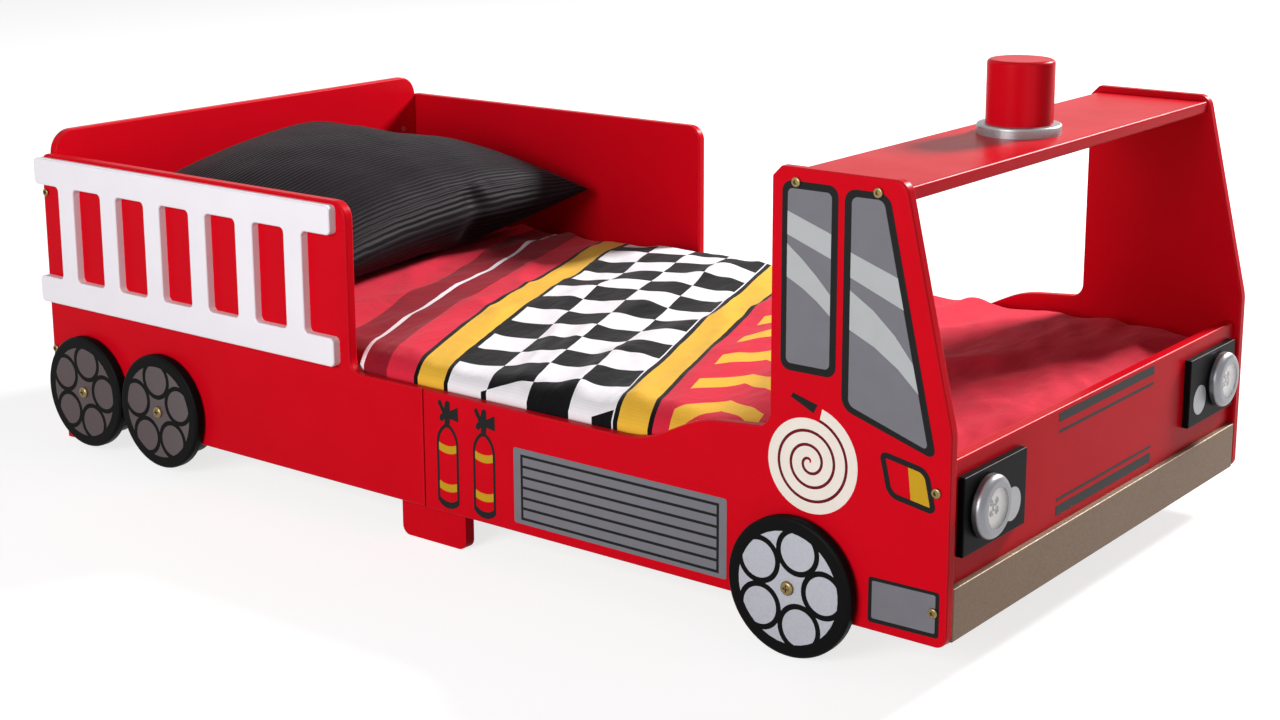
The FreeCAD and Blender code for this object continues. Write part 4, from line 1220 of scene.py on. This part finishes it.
# Real ribs are about 3 mm apart; they are drawn at 7 mm so that they show
ribs = add_node(tree, "TexWave", {"bands_direction": "X"}, {
    "Vector": place, "Scale": per_metre(7) / bands_per_scale, "Distortion": 1.5, "Detail": 2.0,
    "Detail Scale": 0.4})
ridges = add_node(tree, "Mix", {}, {0: 0.45, 2: ribs.outputs["Fac"], 3: slubs.outputs["Fac"]})
colour = add_node(tree, "Mix", COLOURS, {0: ridges.outputs[0], 6: "#080608", 7: "#241E23"})
bump = add_node(tree, "Bump", {}, {
    "Height": ridges.outputs[0], "Strength": 0.7, "Distance": 2 * MM})
plug(surface, {"Base Color": colour.outputs[2], "Normal": bump.outputs[0]})

pillow = piece("stuffed_pillow", bm, [satin])
soften(pillow)
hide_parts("pillow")
print("pillow faces", len(pillow.data.polygons))

# %% [markdown]
# ## Studio
# The bed stands on a plain pale floor. A small strong lamp far behind it throws the cab's shadow
# across the bedding and a large soft box beside the camera lights the near side, while the room adds
# little, so that shadows stay clear. Floor and backdrop look white, also in metal and glass, and the
# floor takes the shadow.

# %% Floor
def seen_rays(tree):
    """1 for rays from the camera, also by way of metal or glass; 0 for light on the object."""
    path = add_node(tree, "LightPath").outputs
    seen = path["Is Camera Ray"]
    for kind in ("Is Glossy Ray", "Is Transmission Ray"):
        seen = add_node(tree, "Math", {"operation": "MAXIMUM"}, {0: seen, 1: path[kind]}).outputs[0]
    return seen


bm = bmesh.new()
bmesh.ops.create_grid(bm, x_segments=2, y_segments=2, size=30.0)
floor_paint = bpy.data.materials.new("white_studio_floor")
floor = put_in_scene("studio_floor", bm, [floor_paint])
tree = empty_tree(floor_paint)
pale = add_node(tree, "BsdfDiffuse", {}, {"Color": "#B4B4B6"})
shown = add_node(tree, "BsdfDiffuse", {}, {"Color": "#A8A8A8"})
glow = add_node(tree, "Emission", {}, {"Color": "#FFFFFF", "Strength": 0.76})
white_floor = add_node(tree, "AddShader", {}, {0: shown.outputs[0], 1: glow.outputs[0]})
choose = add_node(tree, "MixShader", {}, {
    0: seen_rays(tree), 1: pale.outputs[0], 2: white_floor.outputs[0]})
add_node(tree, "OutputMaterial", {}, {"Surface": choose.outputs[0]})
print("floor laid")

# %% Surroundings
world = bpy.data.worlds.new("studio")
tree = empty_tree(world)
room = add_node(tree, "Background", {}, {"Color": "#F4F4F6", "Strength": 0.16})
backdrop = add_node(tree, "Background", {}, {"Color": "#FFFFFF", "Strength": 1.0})
choose = add_node(tree, "MixShader", {}, {
    0: seen_rays(tree), 1: room.outputs[0], 2: backdrop.outputs[0]})
add_node(tree, "OutputWorld", {}, {"Surface": choose.outputs[0]})
bpy.context.scene.world = world
print("world", world.name)


# %% Lamps
def soft_box(name, place, target, size, watts):
    """Square lamp that faces a point."""
    data = bpy.data.lights.new(name, "AREA")
    data.shape = "SQUARE"
    data.size = size
    data.energy = watts
    lamp = bpy.data.objects.new(name, data)
    lamp.location = place
    lamp.rotation_mode = "QUATERNION"
    lamp.rotation_quaternion = (Vector(target) - Vector(place)).to_track_quat("-Z", "Y")
    bpy.context.scene.collection.objects.link(lamp)


soft_box("key_lamp", (1.53, 5.1, 3.5), (0.1, 0.0, 0.4), 1.2, 780)
soft_box("fill_lamp", (0.2, -3.6, 1.25), (0.0, 0.0, 0.25), 1.8, 104)
print("lamps set")

# %% [markdown]
# ## Camera
# The photograph was taken from the front right at about the height of a table, with the lens shifted
# a little so that upright edges stay nearly upright.

# %% Camera
camera_place = (1.7159, -2.1645, 0.9176)
camera_azimuth = math.radians(37.831)
camera_elevation = math.radians(12.684)
camera_roll = math.radians(-0.175)
focal_pixels = 2103.5
axis_above_middle = 100
picture_width = 1280

data = bpy.data.cameras.new("camera")
data.sensor_fit = "HORIZONTAL"
data.sensor_width = 36.0
data.lens = data.sensor_width * focal_pixels / picture_width
data.shift_y = -axis_above_middle / picture_width
camera = bpy.data.objects.new("camera", data)
turn = Matrix.Rotation(camera_azimuth, 4, "Z")
tilt = Matrix.Rotation(math.pi / 2 - camera_elevation, 4, "X")
roll = Matrix.Rotation(camera_roll, 4, "Z")
camera.matrix_world = Matrix.Translation(camera_place) @ turn @ tilt @ roll
bpy.context.scene.collection.objects.link(camera)
bpy.context.scene.camera = camera
bpy.context.scene.view_settings.view_transform = "Standard"
print("camera at", [round(v, 3) for v in camera.location], "lens", round(data.lens, 1))
